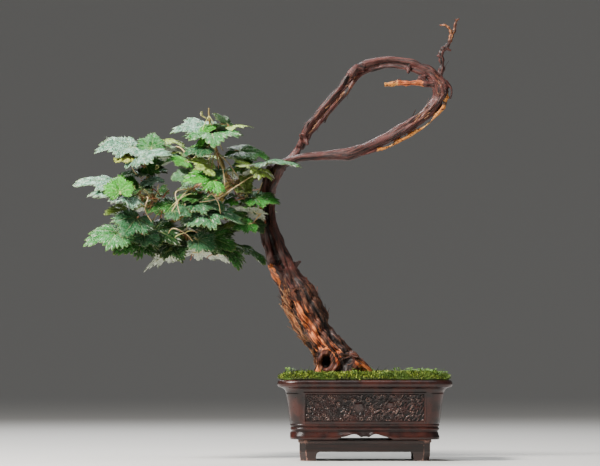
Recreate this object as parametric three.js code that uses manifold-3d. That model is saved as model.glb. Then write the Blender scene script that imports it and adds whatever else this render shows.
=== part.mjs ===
import * as THREE from "three";
import { mergeVertices } from "three/addons/utils/BufferGeometryUtils.js";
import Module from "manifold-3d";

const wasm = await Module();
wasm.setup();

// Grapevine bonsai on a low stand. Millimetres, +Z up, the front faces -Y.
// While it is built, X and Y are counted from the middle of the pot and Z from the table.

// Clearances and thicknesses
const GAP = 0.3;
const BLADE_THICKNESS = 0.8;
const PETIOLE_RADIUS = 0.75;

// Stand
const STAND_LENGTH = 206;
const STAND_DEPTH = 128;
const STAND_HEIGHT = 33;
const STAND_CHAMFER = 10;
const STAND_WALL = 15;
const STAND_BOARD = 9;
const STAND_LEG = 26;
const STAND_LIP = 2;
const STAND_OPENING_HEIGHT = 14;
const STAND_OPENING_ROUND = 5;

// Pot
const POT_LENGTH = 270;
const POT_DEPTH = 190;
const POT_FOOT_Z = STAND_HEIGHT + GAP;
const POT_RIM_Z = 125;
const POT_CORNER = 32;
const POT_WALL = 10;
const POT_FLOOR_Z = 54;
const FOOT_INSET = 22.4;
const FOOT_WIDTH = 14;
const FOOT_INNER_RADIUS = 12;
const WALL_MID_Z = 88;
const DRAIN_RADIUS = 9;
const DRAIN_SPACING = 92;
const PANEL_LENGTH = 186;
const PANEL_SIDE_LENGTH = 104;
const PANEL_BOTTOM_Z = 59;
const PANEL_TOP_Z = 105;
const PANEL_SINK = 1.6;
const FRAME_WIDTH = 3.2;
const CLOUD_HALF_WIDTH = 43;
const CLOUD_HEIGHT = 8.5;

// Drain screens
const SCREEN_SIDE = 34;
const SCREEN_THICKNESS = 1.4;
const SCREEN_CELLS = 3;
const SCREEN_BAR = 2.6;

// Soil and moss
const SOIL_TOP_Z = POT_RIM_Z;
const MOSS_HEIGHT = 10;
const MOSS_INSET = 5;
const MOSS_LIP = 1.5;
const MOSS_CORNER_POINTS = 6;

const MATERIALS = {
  stand_wood: { color: 0x35180f, roughness: 0.45, metalness: 0 },
  pot_clay: { color: 0x3a1d16, roughness: 0.35, metalness: 0 },
  screen_plastic: { color: 0x1d1f1d, roughness: 0.6, metalness: 0 },
  soil: { color: 0x4a3526, roughness: 1, metalness: 0 },
  moss: { color: 0x66702c, roughness: 1, metalness: 0 },
  bark: { color: 0x5a3524, roughness: 0.9, metalness: 0 },
  leaf: { color: 0x6f9f6a, roughness: 0.55, metalness: 0 },
};

// Solids

// A closed solid. One whose triangles all face in is turned round.
function solidOf(geometry) {
  const build = (corners) =>
    new wasm.Manifold(
      new wasm.Mesh({
        numProp: 3,
        vertProperties: Float32Array.from(geometry.getAttribute("position").array),
        triVerts: Uint32Array.from(corners),
      }),
    );
  const corners = [...geometry.index.array];
  const solid = build(corners);
  return solid.volume() < 0 ? build(corners.reverse()) : solid;
}

function solidOfFaces(points, triangles) {
  const geometry = new THREE.BufferGeometry();
  geometry.setAttribute("position", new THREE.Float32BufferAttribute(points.flat(), 3));
  return solidOf(geometry.setIndex(triangles.flat()));
}

// The solid of a ready-made shape, whose faces don't share corners yet
function solidOfShape(geometry) {
  geometry.deleteAttribute("normal");
  geometry.deleteAttribute("uv");
  return solidOf(mergeVertices(geometry));
}

function joined(solids) {
  return solids.reduce((whole, solid) => whole.add(solid));
}

function namedMesh(name, solid, slot, shift) {
  const out = solid.getMesh();
  const positions = new Float32Array(out.numVert * 3);
  for (let i = 0; i < out.numVert; i += 1) {
    for (let k = 0; k < 3; k += 1) {
      positions[3 * i + k] = out.vertProperties[out.numProp * i + k] - shift[k];
    }
  }
  const geometry = new THREE.BufferGeometry();
  geometry.setAttribute("position", new THREE.BufferAttribute(positions, 3));
  geometry.setIndex(new THREE.BufferAttribute(new Uint32Array(out.triVerts), 1));
  geometry.computeVertexNormals();
  const mesh = new THREE.Mesh(geometry, new THREE.MeshStandardMaterial(MATERIALS[slot]));
  mesh.name = name;
  mesh.material.name = slot;
  return mesh;
}

// A stack of rings with the same number of points, closed by a fan at each end
function loft(rings) {
  const sides = rings[0].length;
  const points = rings.flat();
  const triangles = [];
  for (let i = 0; i < rings.length - 1; i += 1) {
    for (let j = 0; j < sides; j += 1) {
      const a = i * sides + j;
      const b = i * sides + ((j + 1) % sides);
      triangles.push([a, b, b + sides], [a, b + sides, a + sides]);
    }
  }
  const last = (rings.length - 1) * sides;
  for (let j = 1; j < sides - 1; j += 1) {
    triangles.push([0, j + 1, j], [last, last + j, last + j + 1]);
  }
  return solidOfFaces(points, triangles);
}

function box(x0, x1, y0, y1, z0, z1) {
  const geometry = new THREE.BoxGeometry(x1 - x0, y1 - y0, z1 - z0);
  return solidOfShape(geometry.translate((x0 + x1) / 2, (y0 + y1) / 2, (z0 + z1) / 2));
}

function roundedRing(halfX, halfY, radius, z, cornerPoints) {
  const ring = [];
  const corners = [[1, -1], [1, 1], [-1, 1], [-1, -1]];
  corners.forEach(([sx, sy], quarter) => {
    for (let i = 0; i < cornerPoints; i += 1) {
      const angle = (quarter - 1 + i / (cornerPoints - 1)) * (Math.PI / 2);
      const x = sx * (halfX - radius) + radius * Math.cos(angle);
      const y = sy * (halfY - radius) + radius * Math.sin(angle);
      ring.push([x, y, z]);
    }
  });
  return ring;
}

function cylinder(x, y, radius, z0, z1, sides) {
  const geometry = new THREE.CylinderGeometry(radius, radius, z1 - z0, sides);
  return solidOfShape(geometry.rotateX(Math.PI / 2).translate(x, y, (z0 + z1) / 2));
}

// Seeded draws, so that every build is the same
function draws(seed) {
  let state = seed;
  return () => {
    state = (state * 16807) % 2147483647;
    return state / 2147483647;
  };
}

// Smooth route through hand-placed rows of numbers
function alongRows(rows, steps) {
  const result = [];
  const spans = rows.length - 1;
  for (let i = 0; i <= steps; i += 1) {
    const place = (i / steps) * spans;
    const span = Math.min(Math.floor(place), spans - 1);
    const t = place - span;
    const [a, b, c, d] = [-1, 0, 1, 2].map((k) => rows[Math.min(Math.max(span + k, 0), spans)]);
    result.push(
      b.map((unused, k) => {
        const bend = 2 * a[k] - 5 * b[k] + 4 * c[k] - d[k];
        const twist = 3 * b[k] - a[k] - 3 * c[k] + d[k];
        return b[k] + 0.5 * t * (c[k] - a[k] + t * (bend + t * twist));
      }),
    );
  }
  return result;
}

// Sweeps a ring along rows of [x, y, z, radius]. ridges raise that many blunt strands on it.
function sweep(rows, { sides, steps, flat = 1, ridges = 0, depth = 0, twist = 0, grow = 0 }) {
  const stations = alongRows(rows, steps);
  const places = stations.map((row) => new THREE.Vector3(row[0], row[1], row[2]));
  const rings = [];
  let across = new THREE.Vector3(0, -1, 0);
  places.forEach((place, i) => {
    const ahead = places[Math.min(i + 1, steps)].clone().sub(places[Math.max(i - 1, 0)]).normalize();
    if (i === 0 && Math.abs(ahead.y) > 0.9) {
      across = new THREE.Vector3(0, 0, 1);
    }
    across = across.clone().addScaledVector(ahead, -across.dot(ahead)).normalize();
    const beside = new THREE.Vector3().crossVectors(ahead, across);
    const ring = [];
    for (let j = 0; j < sides; j += 1) {
      const angle = (2 * Math.PI * j) / sides;
      const ridge = 1 + depth * Math.cos(ridges * angle + (twist * i) / steps);
      const radius = stations[i][3] * ridge + grow;
      const point = place.clone();
      point.addScaledVector(beside, radius * Math.sin(angle));
      point.addScaledVector(across, radius * flat * Math.cos(angle));
      ring.push(point.toArray());
    }
    rings.push(ring);
  });
  return loft(rings);
}

// Stand: a board on an apron and four legs, corners chamfered

function chamferedRing(halfX, halfY, cut, z) {
  return [
    [halfX - cut, -halfY, z], [halfX, cut - halfY, z], [halfX, halfY - cut, z], [halfX - cut, halfY, z],
    [cut - halfX, halfY, z], [-halfX, halfY - cut, z], [-halfX, cut - halfY, z], [cut - halfX, -halfY, z],
  ];
}

function makeStand() {
  const halfX = STAND_LENGTH / 2;
  const halfY = STAND_DEPTH / 2;
  const lip = STAND_LIP;
  const profile = [
    [0, 1.5], [STAND_OPENING_HEIGHT, 0], [STAND_HEIGHT - 5, 0],
    [STAND_HEIGHT - 4, -lip], [STAND_HEIGHT - 1, -lip], [STAND_HEIGHT, -lip + 1],
  ];
  const outside = loft(
    profile.map(([z, inset]) => chamferedRing(halfX - inset - lip, halfY - inset - lip, STAND_CHAMFER, z)),
  );
  const hollowTop = STAND_HEIGHT - STAND_BOARD;
  const inX = halfX - lip - STAND_WALL;
  const inY = halfY - lip - STAND_WALL;
  const hollow = loft([
    chamferedRing(inX, inY, STAND_CHAMFER, -1),
    chamferedRing(inX, inY, STAND_CHAMFER, hollowTop),
  ]);
  const gateX = halfX - lip - STAND_LEG;
  const gateY = halfY - lip - STAND_LEG;
  const round = STAND_OPENING_ROUND;
  const gate = (x, y, alongX) => {
    const low = STAND_OPENING_HEIGHT - round;
    const ring = (z, inset) =>
      alongX
        ? [[inset - x, -y, z], [x - inset, -y, z], [x - inset, y, z], [inset - x, y, z]]
        : [[-x, inset - y, z], [x, inset - y, z], [x, y - inset, z], [-x, y - inset, z]];
    return loft([ring(-1, 0), ring(low, 0), ring(low + 0.6 * round, 0.25 * round), ring(low + round, round)]);
  };
  return outside
    .subtract(hollow)
    .subtract(gate(gateX, STAND_DEPTH, true))
    .subtract(gate(STAND_LENGTH, gateY, false));
}

// Pot: leaning walls under a heavy rolled rim, two fillets and a ring foot

// Height above the table and how far the outside stands in from the rim's edge
const POT_PROFILE = [
  [POT_FOOT_Z, 20.5], [36, 19.3], [45.5, FOOT_INSET], [47, FOOT_INSET], [49, 20], [51.5, 20.2], [53, 22],
  [55, 19.8], [WALL_MID_Z, 16.4], [108, 12.2], [112, 9.5], [116, 1.6], [119, 0], [123, 0.4], [POT_RIM_Z, 3.4],
];
const CORNER_POINTS = 4;

function potRing(inset, z) {
  const radius = POT_CORNER - 0.5 * inset;
  return roundedRing(POT_LENGTH / 2 - inset, POT_DEPTH / 2 - inset, radius, z, CORNER_POINTS);
}

// How far the outside of the wall stands in at a height
function potInset(z) {
  const above = POT_PROFILE.findIndex((row) => row[0] >= z);
  const [z0, in0] = POT_PROFILE[Math.max(above - 1, 0)];
  const [z1, in1] = POT_PROFILE[above];
  return in0 + ((z - z0) / (z1 - z0 || 1)) * (in1 - in0);
}

function potCavity(grow) {
  const floor = POT_FLOOR_Z + grow;
  const profile = [
    [floor, 34], [floor + 6, 31], [WALL_MID_Z, 28], [112, 21], [118, 17], [POT_RIM_Z + 2, 15.5],
  ];
  return loft(profile.map(([z, inset]) => potRing(inset + grow, z)));
}

// Cuts a panel's field into the wall, inside its raised frame. turned puts it on the pot's end.
function panelField(length, side, turned) {
  const reach = turned ? POT_LENGTH / 2 : POT_DEPTH / 2;
  const half = length / 2;
  const place = (along, out, z) => (turned ? [side * out, along, z] : [along, side * out, z]);
  const levels = [PANEL_BOTTOM_Z, (PANEL_BOTTOM_Z + WALL_MID_Z) / 2, WALL_MID_Z, PANEL_TOP_Z];
  return loft(
    levels.map((z) => {
      const back = reach - potInset(z) - PANEL_SINK;
      const front = back + 3 * PANEL_SINK;
      return [place(-half, back, z), place(half, back, z), place(half, front, z), place(-half, front, z)];
    }),
  );
}

// Half of the cloud cut-out's upper edge, from its middle out, as share of the half width and height
const CLOUD_EDGE = [
  [0, 0.42], [0.07, 0.55], [0.14, 0.3], [0.25, 0.8], [0.38, 1], [0.55, 0.72], [0.8, 0.34], [1, 0],
];

function cloudCut(halfWidth, reach, turned) {
  const upper = [...CLOUD_EDGE.slice(1).reverse().map(([x, z]) => [-x, z]), ...CLOUD_EDGE];
  const foot = POT_FOOT_Z + 0.01;
  const corners = upper.map(([x, z]) => new THREE.Vector2(x * halfWidth, foot + z * CLOUD_HEIGHT));
  const below = POT_FOOT_Z - 1;
  corners.push(new THREE.Vector2(halfWidth, below), new THREE.Vector2(-halfWidth, below));
  const options = { depth: 2 * reach, bevelEnabled: false };
  const geometry = new THREE.ExtrudeGeometry(new THREE.Shape(corners), options);
  geometry.translate(0, 0, -reach).rotateX(Math.PI / 2);
  return solidOfShape(turned ? geometry.rotateZ(Math.PI / 2) : geometry);
}

function makePot() {
  const outside = loft(POT_PROFILE.map(([z, inset]) => potRing(inset, z)));
  const underX = POT_LENGTH / 2 - FOOT_INSET - FOOT_WIDTH;
  const underY = POT_DEPTH / 2 - FOOT_INSET - FOOT_WIDTH;
  const under = loft([
    roundedRing(underX + 1, underY + 1, FOOT_INNER_RADIUS + 1, POT_FOOT_Z - 1, CORNER_POINTS),
    roundedRing(underX, underY, FOOT_INNER_RADIUS, POT_FLOOR_Z - POT_WALL, CORNER_POINTS),
  ]);
  let pot = outside.subtract(potCavity(0)).subtract(under);
  pot = pot.subtract(cloudCut(CLOUD_HALF_WIDTH, POT_DEPTH, false));
  pot = pot.subtract(cloudCut(0.55 * CLOUD_HALF_WIDTH, POT_LENGTH, true));
  for (const side of [-1, 1]) {
    pot = pot.subtract(panelField(PANEL_LENGTH - 2 * FRAME_WIDTH, side, false));
    pot = pot.subtract(panelField(PANEL_SIDE_LENGTH - 2 * FRAME_WIDTH, side, true));
    const hole = cylinder((side * DRAIN_SPACING) / 2, 0, DRAIN_RADIUS, POT_FOOT_Z, POT_FLOOR_Z + 9, 16);
    pot = pot.subtract(hole);
  }
  return pot;
}

function makeScreen(x) {
  const half = SCREEN_SIDE / 2;
  const bottom = POT_FLOOR_Z + GAP;
  let screen = box(x - half, x + half, -half, half, bottom, bottom + SCREEN_THICKNESS);
  const pitch = (SCREEN_SIDE - SCREEN_BAR) / SCREEN_CELLS;
  for (let i = 0; i < SCREEN_CELLS; i += 1) {
    for (let j = 0; j < SCREEN_CELLS; j += 1) {
      const left = x - half + SCREEN_BAR + i * pitch;
      const front = SCREEN_BAR - half + j * pitch;
      const open = pitch - SCREEN_BAR;
      screen = screen.subtract(box(left, left + open, front, front + open, bottom - 1, bottom + 4));
    }
  }
  return screen;
}

function makeSoil(hole) {
  const above = box(-POT_LENGTH, POT_LENGTH, -POT_DEPTH, POT_DEPTH, SOIL_TOP_Z, SOIL_TOP_Z + MOSS_HEIGHT);
  let soil = potCavity(GAP).subtract(above);
  for (const side of [-1, 1]) {
    const x = (side * DRAIN_SPACING) / 2;
    const half = SCREEN_SIDE / 2 + GAP;
    const top = POT_FLOOR_Z + 2 * GAP + SCREEN_THICKNESS;
    soil = soil.subtract(box(x - half, x + half, -half, half, POT_FLOOR_Z - 1, top));
  }
  return soil.subtract(hole);
}

// Moss: a cushion with soft humps that covers the soil and laps onto the rim

function mossHeight(x, y, share) {
  const humps =
    1.1 * Math.sin(0.09 * x + 0.4) * Math.cos(0.11 * y) +
    0.8 * Math.sin(0.21 * x - 0.17 * y) +
    0.6 * Math.sin(0.37 * x + 0.29 * y + 1.3);
  const edge = Math.sqrt(Math.min(1, (1 - share) / 0.16));
  return (MOSS_HEIGHT - MOSS_LIP + humps) * edge;
}

function makeMoss(hole) {
  const shares = [1, 0.97, 0.88, 0.72, 0.52, 0.26];
  const bottom = SOIL_TOP_Z + GAP;
  const edgeX = POT_LENGTH / 2 - MOSS_INSET;
  const edgeY = POT_DEPTH / 2 - MOSS_INSET;
  const outline = roundedRing(edgeX, edgeY, POT_CORNER - MOSS_INSET, bottom, MOSS_CORNER_POINTS);
  const rings = [outline];
  shares.forEach((share) => {
    rings.push(
      outline.map(([x, y]) => {
        const height = mossHeight(x * share, y * share, share);
        return [x * share, y * share, bottom + MOSS_LIP + height];
      }),
    );
  });
  return loft(rings).subtract(hole);
}

// Vine wood: routes of [x, y, z, radius]

const TRUNK = [
  [-33, 2, 86, 26], [-33, 2, 112, 34], [-38, 1, 136, 38], [-43, 0, 150, 34], [-52, 0, 164, 29],
  [-63, 0, 181, 26.5], [-74, 0, 199, 25.5], [-84, 0, 218, 27.5], [-95, 0, 239, 28.5], [-104, 0, 260, 26],
  [-116, 1, 281, 21], [-125, 2, 304, 19],
];
const STRAND_LEFT = [
  [-118, 4, 268, 12], [-134, 4, 289, 10.5], [-144, 3, 309, 8.5], [-149, 0, 328, 8], [-155, -3, 359, 7],
  [-159, -1, 390, 6], [-157, 4, 421, 6], [-151, 6, 445, 7], [-143, 2, 457, 7],
];
const STRAND_RIGHT = [
  [-106, -2, 270, 14], [-115, -3, 290, 13], [-123, -4, 309, 11.5], [-130, -4, 326, 10], [-136, -3, 348, 9],
  [-144, 0, 370, 8], [-147, 3, 391, 7.5], [-147, 3, 407, 6.5], [-144, 0, 421, 7], [-136, -4, 446, 8.5],
  [-130, -6, 458, 8],
];
const LOOP = [
  [-136, -4, 450, 8.5], [-128, -7, 460, 7.5], [-110, -10, 468, 6.6], [-92, -12, 472, 6.2],
  [-53, -14, 474, 7.4], [-24, -14, 476, 9.6], [-8, -12, 481, 9.4], [15, -8, 491, 9.2],
  [40, -4, 503, 9.8], [65, 0, 518, 10.8], [86, 4, 532, 10.2], [104, 6, 549, 9.8],
  [116, 6, 564, 10.5], [121, 5, 579, 13.4], [114, 4, 596, 11.2], [95, 6, 610, 9.2],
  [70, 10, 618, 8.2], [40, 14, 622, 7.8], [15, 16, 618, 8], [-9, 16, 609, 8.6],
  [-22, 14, 595, 8.8], [-35, 12, 576, 9.2], [-54, 12, 554, 9.6], [-70, 13, 536, 9],
  [-84, 15, 519, 8.4], [-94, 17, 502, 8], [-101, 18, 489, 7.4], [-110, 18, 475, 7],
  [-126, 18, 464, 6.6], [-146, 18, 453, 6.2], [-167, 16, 443, 5.6], [-195, 12, 437, 5],
];
const CANES = [
  [[-188, 14, 438, 5.2], [-217, 8, 421, 4.8], [-244, 0, 401, 4.4], [-272, -5, 384, 3.9], [-300, 0, 371, 3.2]],
  [[-205, 10, 430, 4.6], [-224, 12, 404, 4], [-241, 14, 372, 3.8], [-250, 8, 352, 3.4], [-263, 0, 338, 3]],
  [[-208, 10, 428, 4], [-215, -2, 444, 3.4], [-221, -14, 462, 3], [-230, -25, 481, 2.6]],
  [[-190, 13, 438, 4.4], [-210, 42, 436, 3.8], [-232, 68, 424, 3.3], [-256, 90, 408, 2.8]],
];
const TWIG = [
  [117, 4, 598, 5.4], [122, 3, 612, 4.6], [122, 2, 625, 4], [121, 1, 636, 3.8], [124, 0, 642, 4],
  [131, 0, 648, 3.4], [135, -1, 655, 3.4], [137, -1, 662, 3.6], [141, 0, 670, 2.8], [143, 1, 681, 2.4],
  [144, 1, 690, 1.8],
];
const TWIG_FORK = [
  [137, -1, 660, 3], [135.5, -2, 670, 2.6], [132, -3, 676, 2.4], [126, -4, 679.5, 2.2], [118.5, -4, 679, 1.7],
];
const STUB = [
  [108, 2, 588, 6], [96, 0, 588, 4.6], [80, -2, 589, 4], [66, -3, 588, 4], [54, -4, 589, 4.8],
  [44, -5, 587, 4.2], [32, -6, 586, 3.9],
];
const SNAGS = [
  [[122, 1, 630, 3.2], [118, 0, 631, 2.4], [114, 0, 632, 1.6]],
  [[127, 0, 644, 3], [132, 0, 642, 2.2], [137, 0, 640, 1.5]],
  [[144, 1, 684, 1.8], [147, 1, 688, 1.4], [150, 1, 690.5, 1.1]],
  [[70, 8, 614, 5], [70, 3, 608, 3.4], [69, 1, 604, 1.8]],
  [[126, 2, 581, 5], [133, 0, 580, 3], [138, 0, 578, 1.8]],
  [[96, 2, 596, 5], [90, 0, 596, 4], [85, -1, 597, 3]],
  [[54, -4, 589, 3.4], [55, -4, 592, 3], [55, -5, 595, 1.8]],
  [[-112, 0, 303, 11], [-106, 0, 306, 8], [-100, -1, 309, 4.5]],
  [[-132, -4, 292, 9], [-139, -9, 298, 7.2], [-144, -14, 303, 5.6]],
  [[-96, 12, 500, 7], [-102, 8, 504, 5.5], [-107, 4, 507, 2.6]],
];
const ROOTS = [
  [
    [-50, -4, 190, 13], [-34, -5, 170, 12.5], [-18, -5, 157, 12], [-4, -4, 146, 11],
    [8, -2, 134, 9], [14, 0, 112, 7],
  ],
  [[-58, -14, 150, 12], [-66, -22, 136, 11], [-72, -26, 118, 8]],
  [[-44, 20, 168, 13], [-50, 32, 146, 12], [-58, 40, 128, 10], [-62, 44, 112, 7]],
  [[-26, 16, 160, 12], [-14, 28, 142, 11], [-8, 36, 124, 8]],
];
const KNOT = { x: -59.5, y: -29, z: 153, halfWidth: 9.6, halfHeight: 12, ring: 3.4, hollow: 11 };

function knotRing() {
  const geometry = new THREE.TorusGeometry(KNOT.halfHeight, KNOT.ring, 5, 12);
  geometry.rotateX(Math.PI / 2).scale(KNOT.halfWidth / KNOT.halfHeight, 1, 1);
  return solidOfShape(geometry.translate(KNOT.x, KNOT.y, KNOT.z));
}

function knotHollow() {
  const reach = [[KNOT.x, KNOT.y - 6, KNOT.z, 6.4], [KNOT.x, KNOT.y + KNOT.hollow, KNOT.z, 4.4]];
  return sweep(reach, { sides: 8, steps: 1 });
}

function makeWood(grow) {
  const solids = [
    sweep(TRUNK, { sides: 11, steps: 12, flat: 0.86, ridges: 5, depth: 0.09, twist: 3.2, grow }),
    sweep(STRAND_LEFT, { sides: 6, steps: 10, ridges: 3, depth: 0.07, twist: 5, grow }),
    sweep(STRAND_RIGHT, { sides: 6, steps: 11, ridges: 3, depth: 0.07, twist: 5, grow }),
    sweep(LOOP, { sides: 6, steps: 42, ridges: 2, depth: 0.1, twist: 34, grow }),
    sweep(TWIG, { sides: 5, steps: 10, grow }),
    sweep(TWIG_FORK, { sides: 4, steps: 5, grow }),
    sweep(STUB, { sides: 5, steps: 6, grow }),
  ];
  CANES.forEach((rows) => solids.push(sweep(rows, { sides: 5, steps: 5, grow })));
  SNAGS.forEach((rows) => solids.push(sweep(rows, { sides: 4, steps: 2, grow })));
  ROOTS.forEach((rows) => solids.push(sweep(rows, { sides: 6, steps: 3, grow })));
  return joined([...solids, knotRing()]).subtract(knotHollow());
}

// The plain hole in soil and moss that the foot of the trunk and its roots stand in, as radii at equal
// turns round its middle, counted from +X towards +Y
const HOLE_MIDDLE = [-30, 8];
const HOLE_RADII = [54, 42, 46, 44, 40, 50, 58, 48, 50, 61, 65, 54, 46, 40, 44, 55];
const HOLE_FLOOR_Z = TRUNK[0][2] - 0.7;

function footHole() {
  const ring = (z) =>
    HOLE_RADII.map((radius, i) => {
      const angle = (2 * Math.PI * i) / HOLE_RADII.length;
      return [HOLE_MIDDLE[0] + radius * Math.cos(angle), HOLE_MIDDLE[1] + radius * Math.sin(angle), z];
    });
  return loft([ring(HOLE_FLOOR_Z), ring(SOIL_TOP_Z + 3 * MOSS_HEIGHT)]);
}

// Leaves. A blade is drawn in shares of its length: x from petiole to tip, y to its left.

// A blade's plan: the left half of its toothed edge from the notch at the petiole to the tip, the hubs
// on the half's veins, and the triangles between them. n is the notch, t the tip, m and u lie on the
// midrib, b and s are the half's hubs, and numbers count along the edge.
const LARGE_PLAN = {
  edge: [
    [-0.2, 0.1], [-0.25, 0.32], [-0.05, 0.4], [0.06, 0.62], [0.21, 0.5],
    [0.38, 0.57], [0.44, 0.34], [0.62, 0.36], [0.7, 0.2], [0.86, 0.16],
  ],
  midrib: { m: [0.3, 0], u: [0.72, 0] },
  hubs: { b: [-0.06, 0.22], s: [0.24, 0.3] },
  triangles: "n0b 01b 12b 2sb nbm bsm 23s 34s 45s 56s 6ms 6um 67u 78u 89u 9tu",
};
const SMALL_PLAN = {
  edge: [[-0.2, 0.12], [-0.12, 0.42], [0.12, 0.58], [0.36, 0.5], [0.46, 0.3], [0.74, 0.26]],
  midrib: { m: [0.28, 0], u: [0.66, 0] },
  hubs: { s: [0.1, 0.27] },
  triangles: "n0s 01s 12s 23s 34s 4ms nsm 4um 45u 5tu",
};
const SMALL_LENGTH = 41;
const NOTCH_HALF = 0.022;

// Points, triangles and outline of a whole blade. Its outline starts and ends at the notch.
function bladePlan({ edge, midrib, hubs, triangles }) {
  const points = [];
  const names = [{}, {}];
  const addPair = (name, x, y) => {
    [1, -1].forEach((side, half) => {
      names[half][name] = points.length;
      points.push([x, side * y]);
    });
  };
  addPair("n", 0.03, NOTCH_HALF);
  edge.forEach(([x, y], i) => addPair(String(i), x, y));
  Object.entries(hubs).forEach(([name, [x, y]]) => addPair(name, x, y));
  Object.entries({ t: [1, 0], ...midrib }).forEach(([name, place]) => {
    names[0][name] = points.length;
    names[1][name] = points.length;
    points.push(place);
  });
  const faces = triangles.split(" ").flatMap((corners) => {
    const [a, b, c] = [...corners];
    return [
      [names[0][a], names[0][c], names[0][b]],
      [names[1][a], names[1][b], names[1][c]],
    ];
  });
  faces.push([names[0].n, names[1].n, names[0].m]);
  const steps = ["n", ...edge.keys()];
  const outline = [
    ...steps.map((name) => names[0][name]), names[0].t, ...steps.reverse().map((name) => names[1][name]),
  ];
  return { points, faces, outline };
}

const LARGE_BLADE = bladePlan(LARGE_PLAN);
const SMALL_BLADE = bladePlan(SMALL_PLAN);

// Where the blade's middle surface lies over its flat plan, in shares of its length
function bladeRise(x, y, arch, fold) {
  return 4 * arch * x * (1 - x) + fold * Math.abs(y) - 0.22 * y * y;
}

function leafFrame(joint, tip, tiltDegrees) {
  const along = new THREE.Vector3().subVectors(tip, joint);
  const length = along.length();
  along.normalize();
  const tilt = THREE.MathUtils.degToRad(tiltDegrees);
  const up = new THREE.Vector3(0, -Math.sin(tilt), Math.cos(tilt));
  up.addScaledVector(along, -up.dot(along)).normalize();
  const left = new THREE.Vector3().crossVectors(up, along);
  return { along, left, up, length };
}

// The petiole's rings from the notch back to the stem, each with its corners in the notch's order
function petioleRings(from, joint, frame) {
  const behind = joint.clone().addScaledVector(frame.along, -0.1 * frame.length);
  behind.addScaledVector(frame.up, -1);
  const middle = from.clone().lerp(behind, 0.5);
  middle.z += 0.1 * from.distanceTo(behind);
  const places = [joint, behind, middle, from];
  let left = frame.left;
  return places.slice(1).map((place, i) => {
    const next = places[Math.min(i + 2, places.length - 1)];
    const back = next.clone().sub(places[i]).normalize();
    left = left.clone().addScaledVector(back, -back.dot(left)).normalize();
    const up = new THREE.Vector3().crossVectors(left, back);
    return [[-1, 1], [1, 1], [1, -1], [-1, -1]].map(([sideways, upward]) => {
      const corner = place.clone().addScaledVector(left, sideways * PETIOLE_RADIUS);
      return corner.addScaledVector(up, upward * PETIOLE_RADIUS).toArray();
    });
  });
}

// A leaf: the blade, two faces with the same triangles, and the petiole that grows out of its notch
function makeLeaf(from, joint, frame, arch, fold) {
  const blade = frame.length < SMALL_LENGTH ? SMALL_BLADE : LARGE_BLADE;
  const points = [];
  for (const side of [1, -1]) {
    blade.points.forEach(([x, y]) => {
      const rise = bladeRise(x, y, arch, fold) * frame.length + (side * BLADE_THICKNESS) / 2;
      const point = joint.clone();
      point.addScaledVector(frame.along, x * frame.length);
      point.addScaledVector(frame.left, y * frame.length);
      point.addScaledVector(frame.up, rise);
      points.push(point.toArray());
    });
  }
  const count = blade.points.length;
  const triangles = [];
  blade.faces.forEach(([a, b, c]) => {
    triangles.push([a, b, c], [a + count, c + count, b + count]);
  });
  blade.outline.slice(1).forEach((b, i) => {
    const a = blade.outline[i];
    triangles.push([a, b, b + count], [a, b + count, a + count]);
  });
  const [leftNotch, rightNotch] = [blade.outline[0], blade.outline[blade.outline.length - 1]];
  let near = [rightNotch, leftNotch, leftNotch + count, rightNotch + count];
  petioleRings(from, joint, frame).forEach((ring) => {
    const far = ring.map((corner, i) => points.length + i);
    points.push(...ring);
    near.forEach((p, i) => {
      const k = (i + 1) % near.length;
      triangles.push([p, near[k], far[k]], [p, far[k], far[i]]);
    });
    near = far;
  });
  triangles.push([near[0], near[1], near[2]], [near[0], near[2], near[3]]);
  return solidOfFaces(points, triangles);
}

function nearestOnRoute(route, place) {
  return route.reduce((best, row) => {
    const there = new THREE.Vector3(row[0], row[1], row[2]);
    const reach = there.distanceTo(place);
    return reach < best.reach ? { there, reach } : best;
  }, { reach: Infinity });
}

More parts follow.
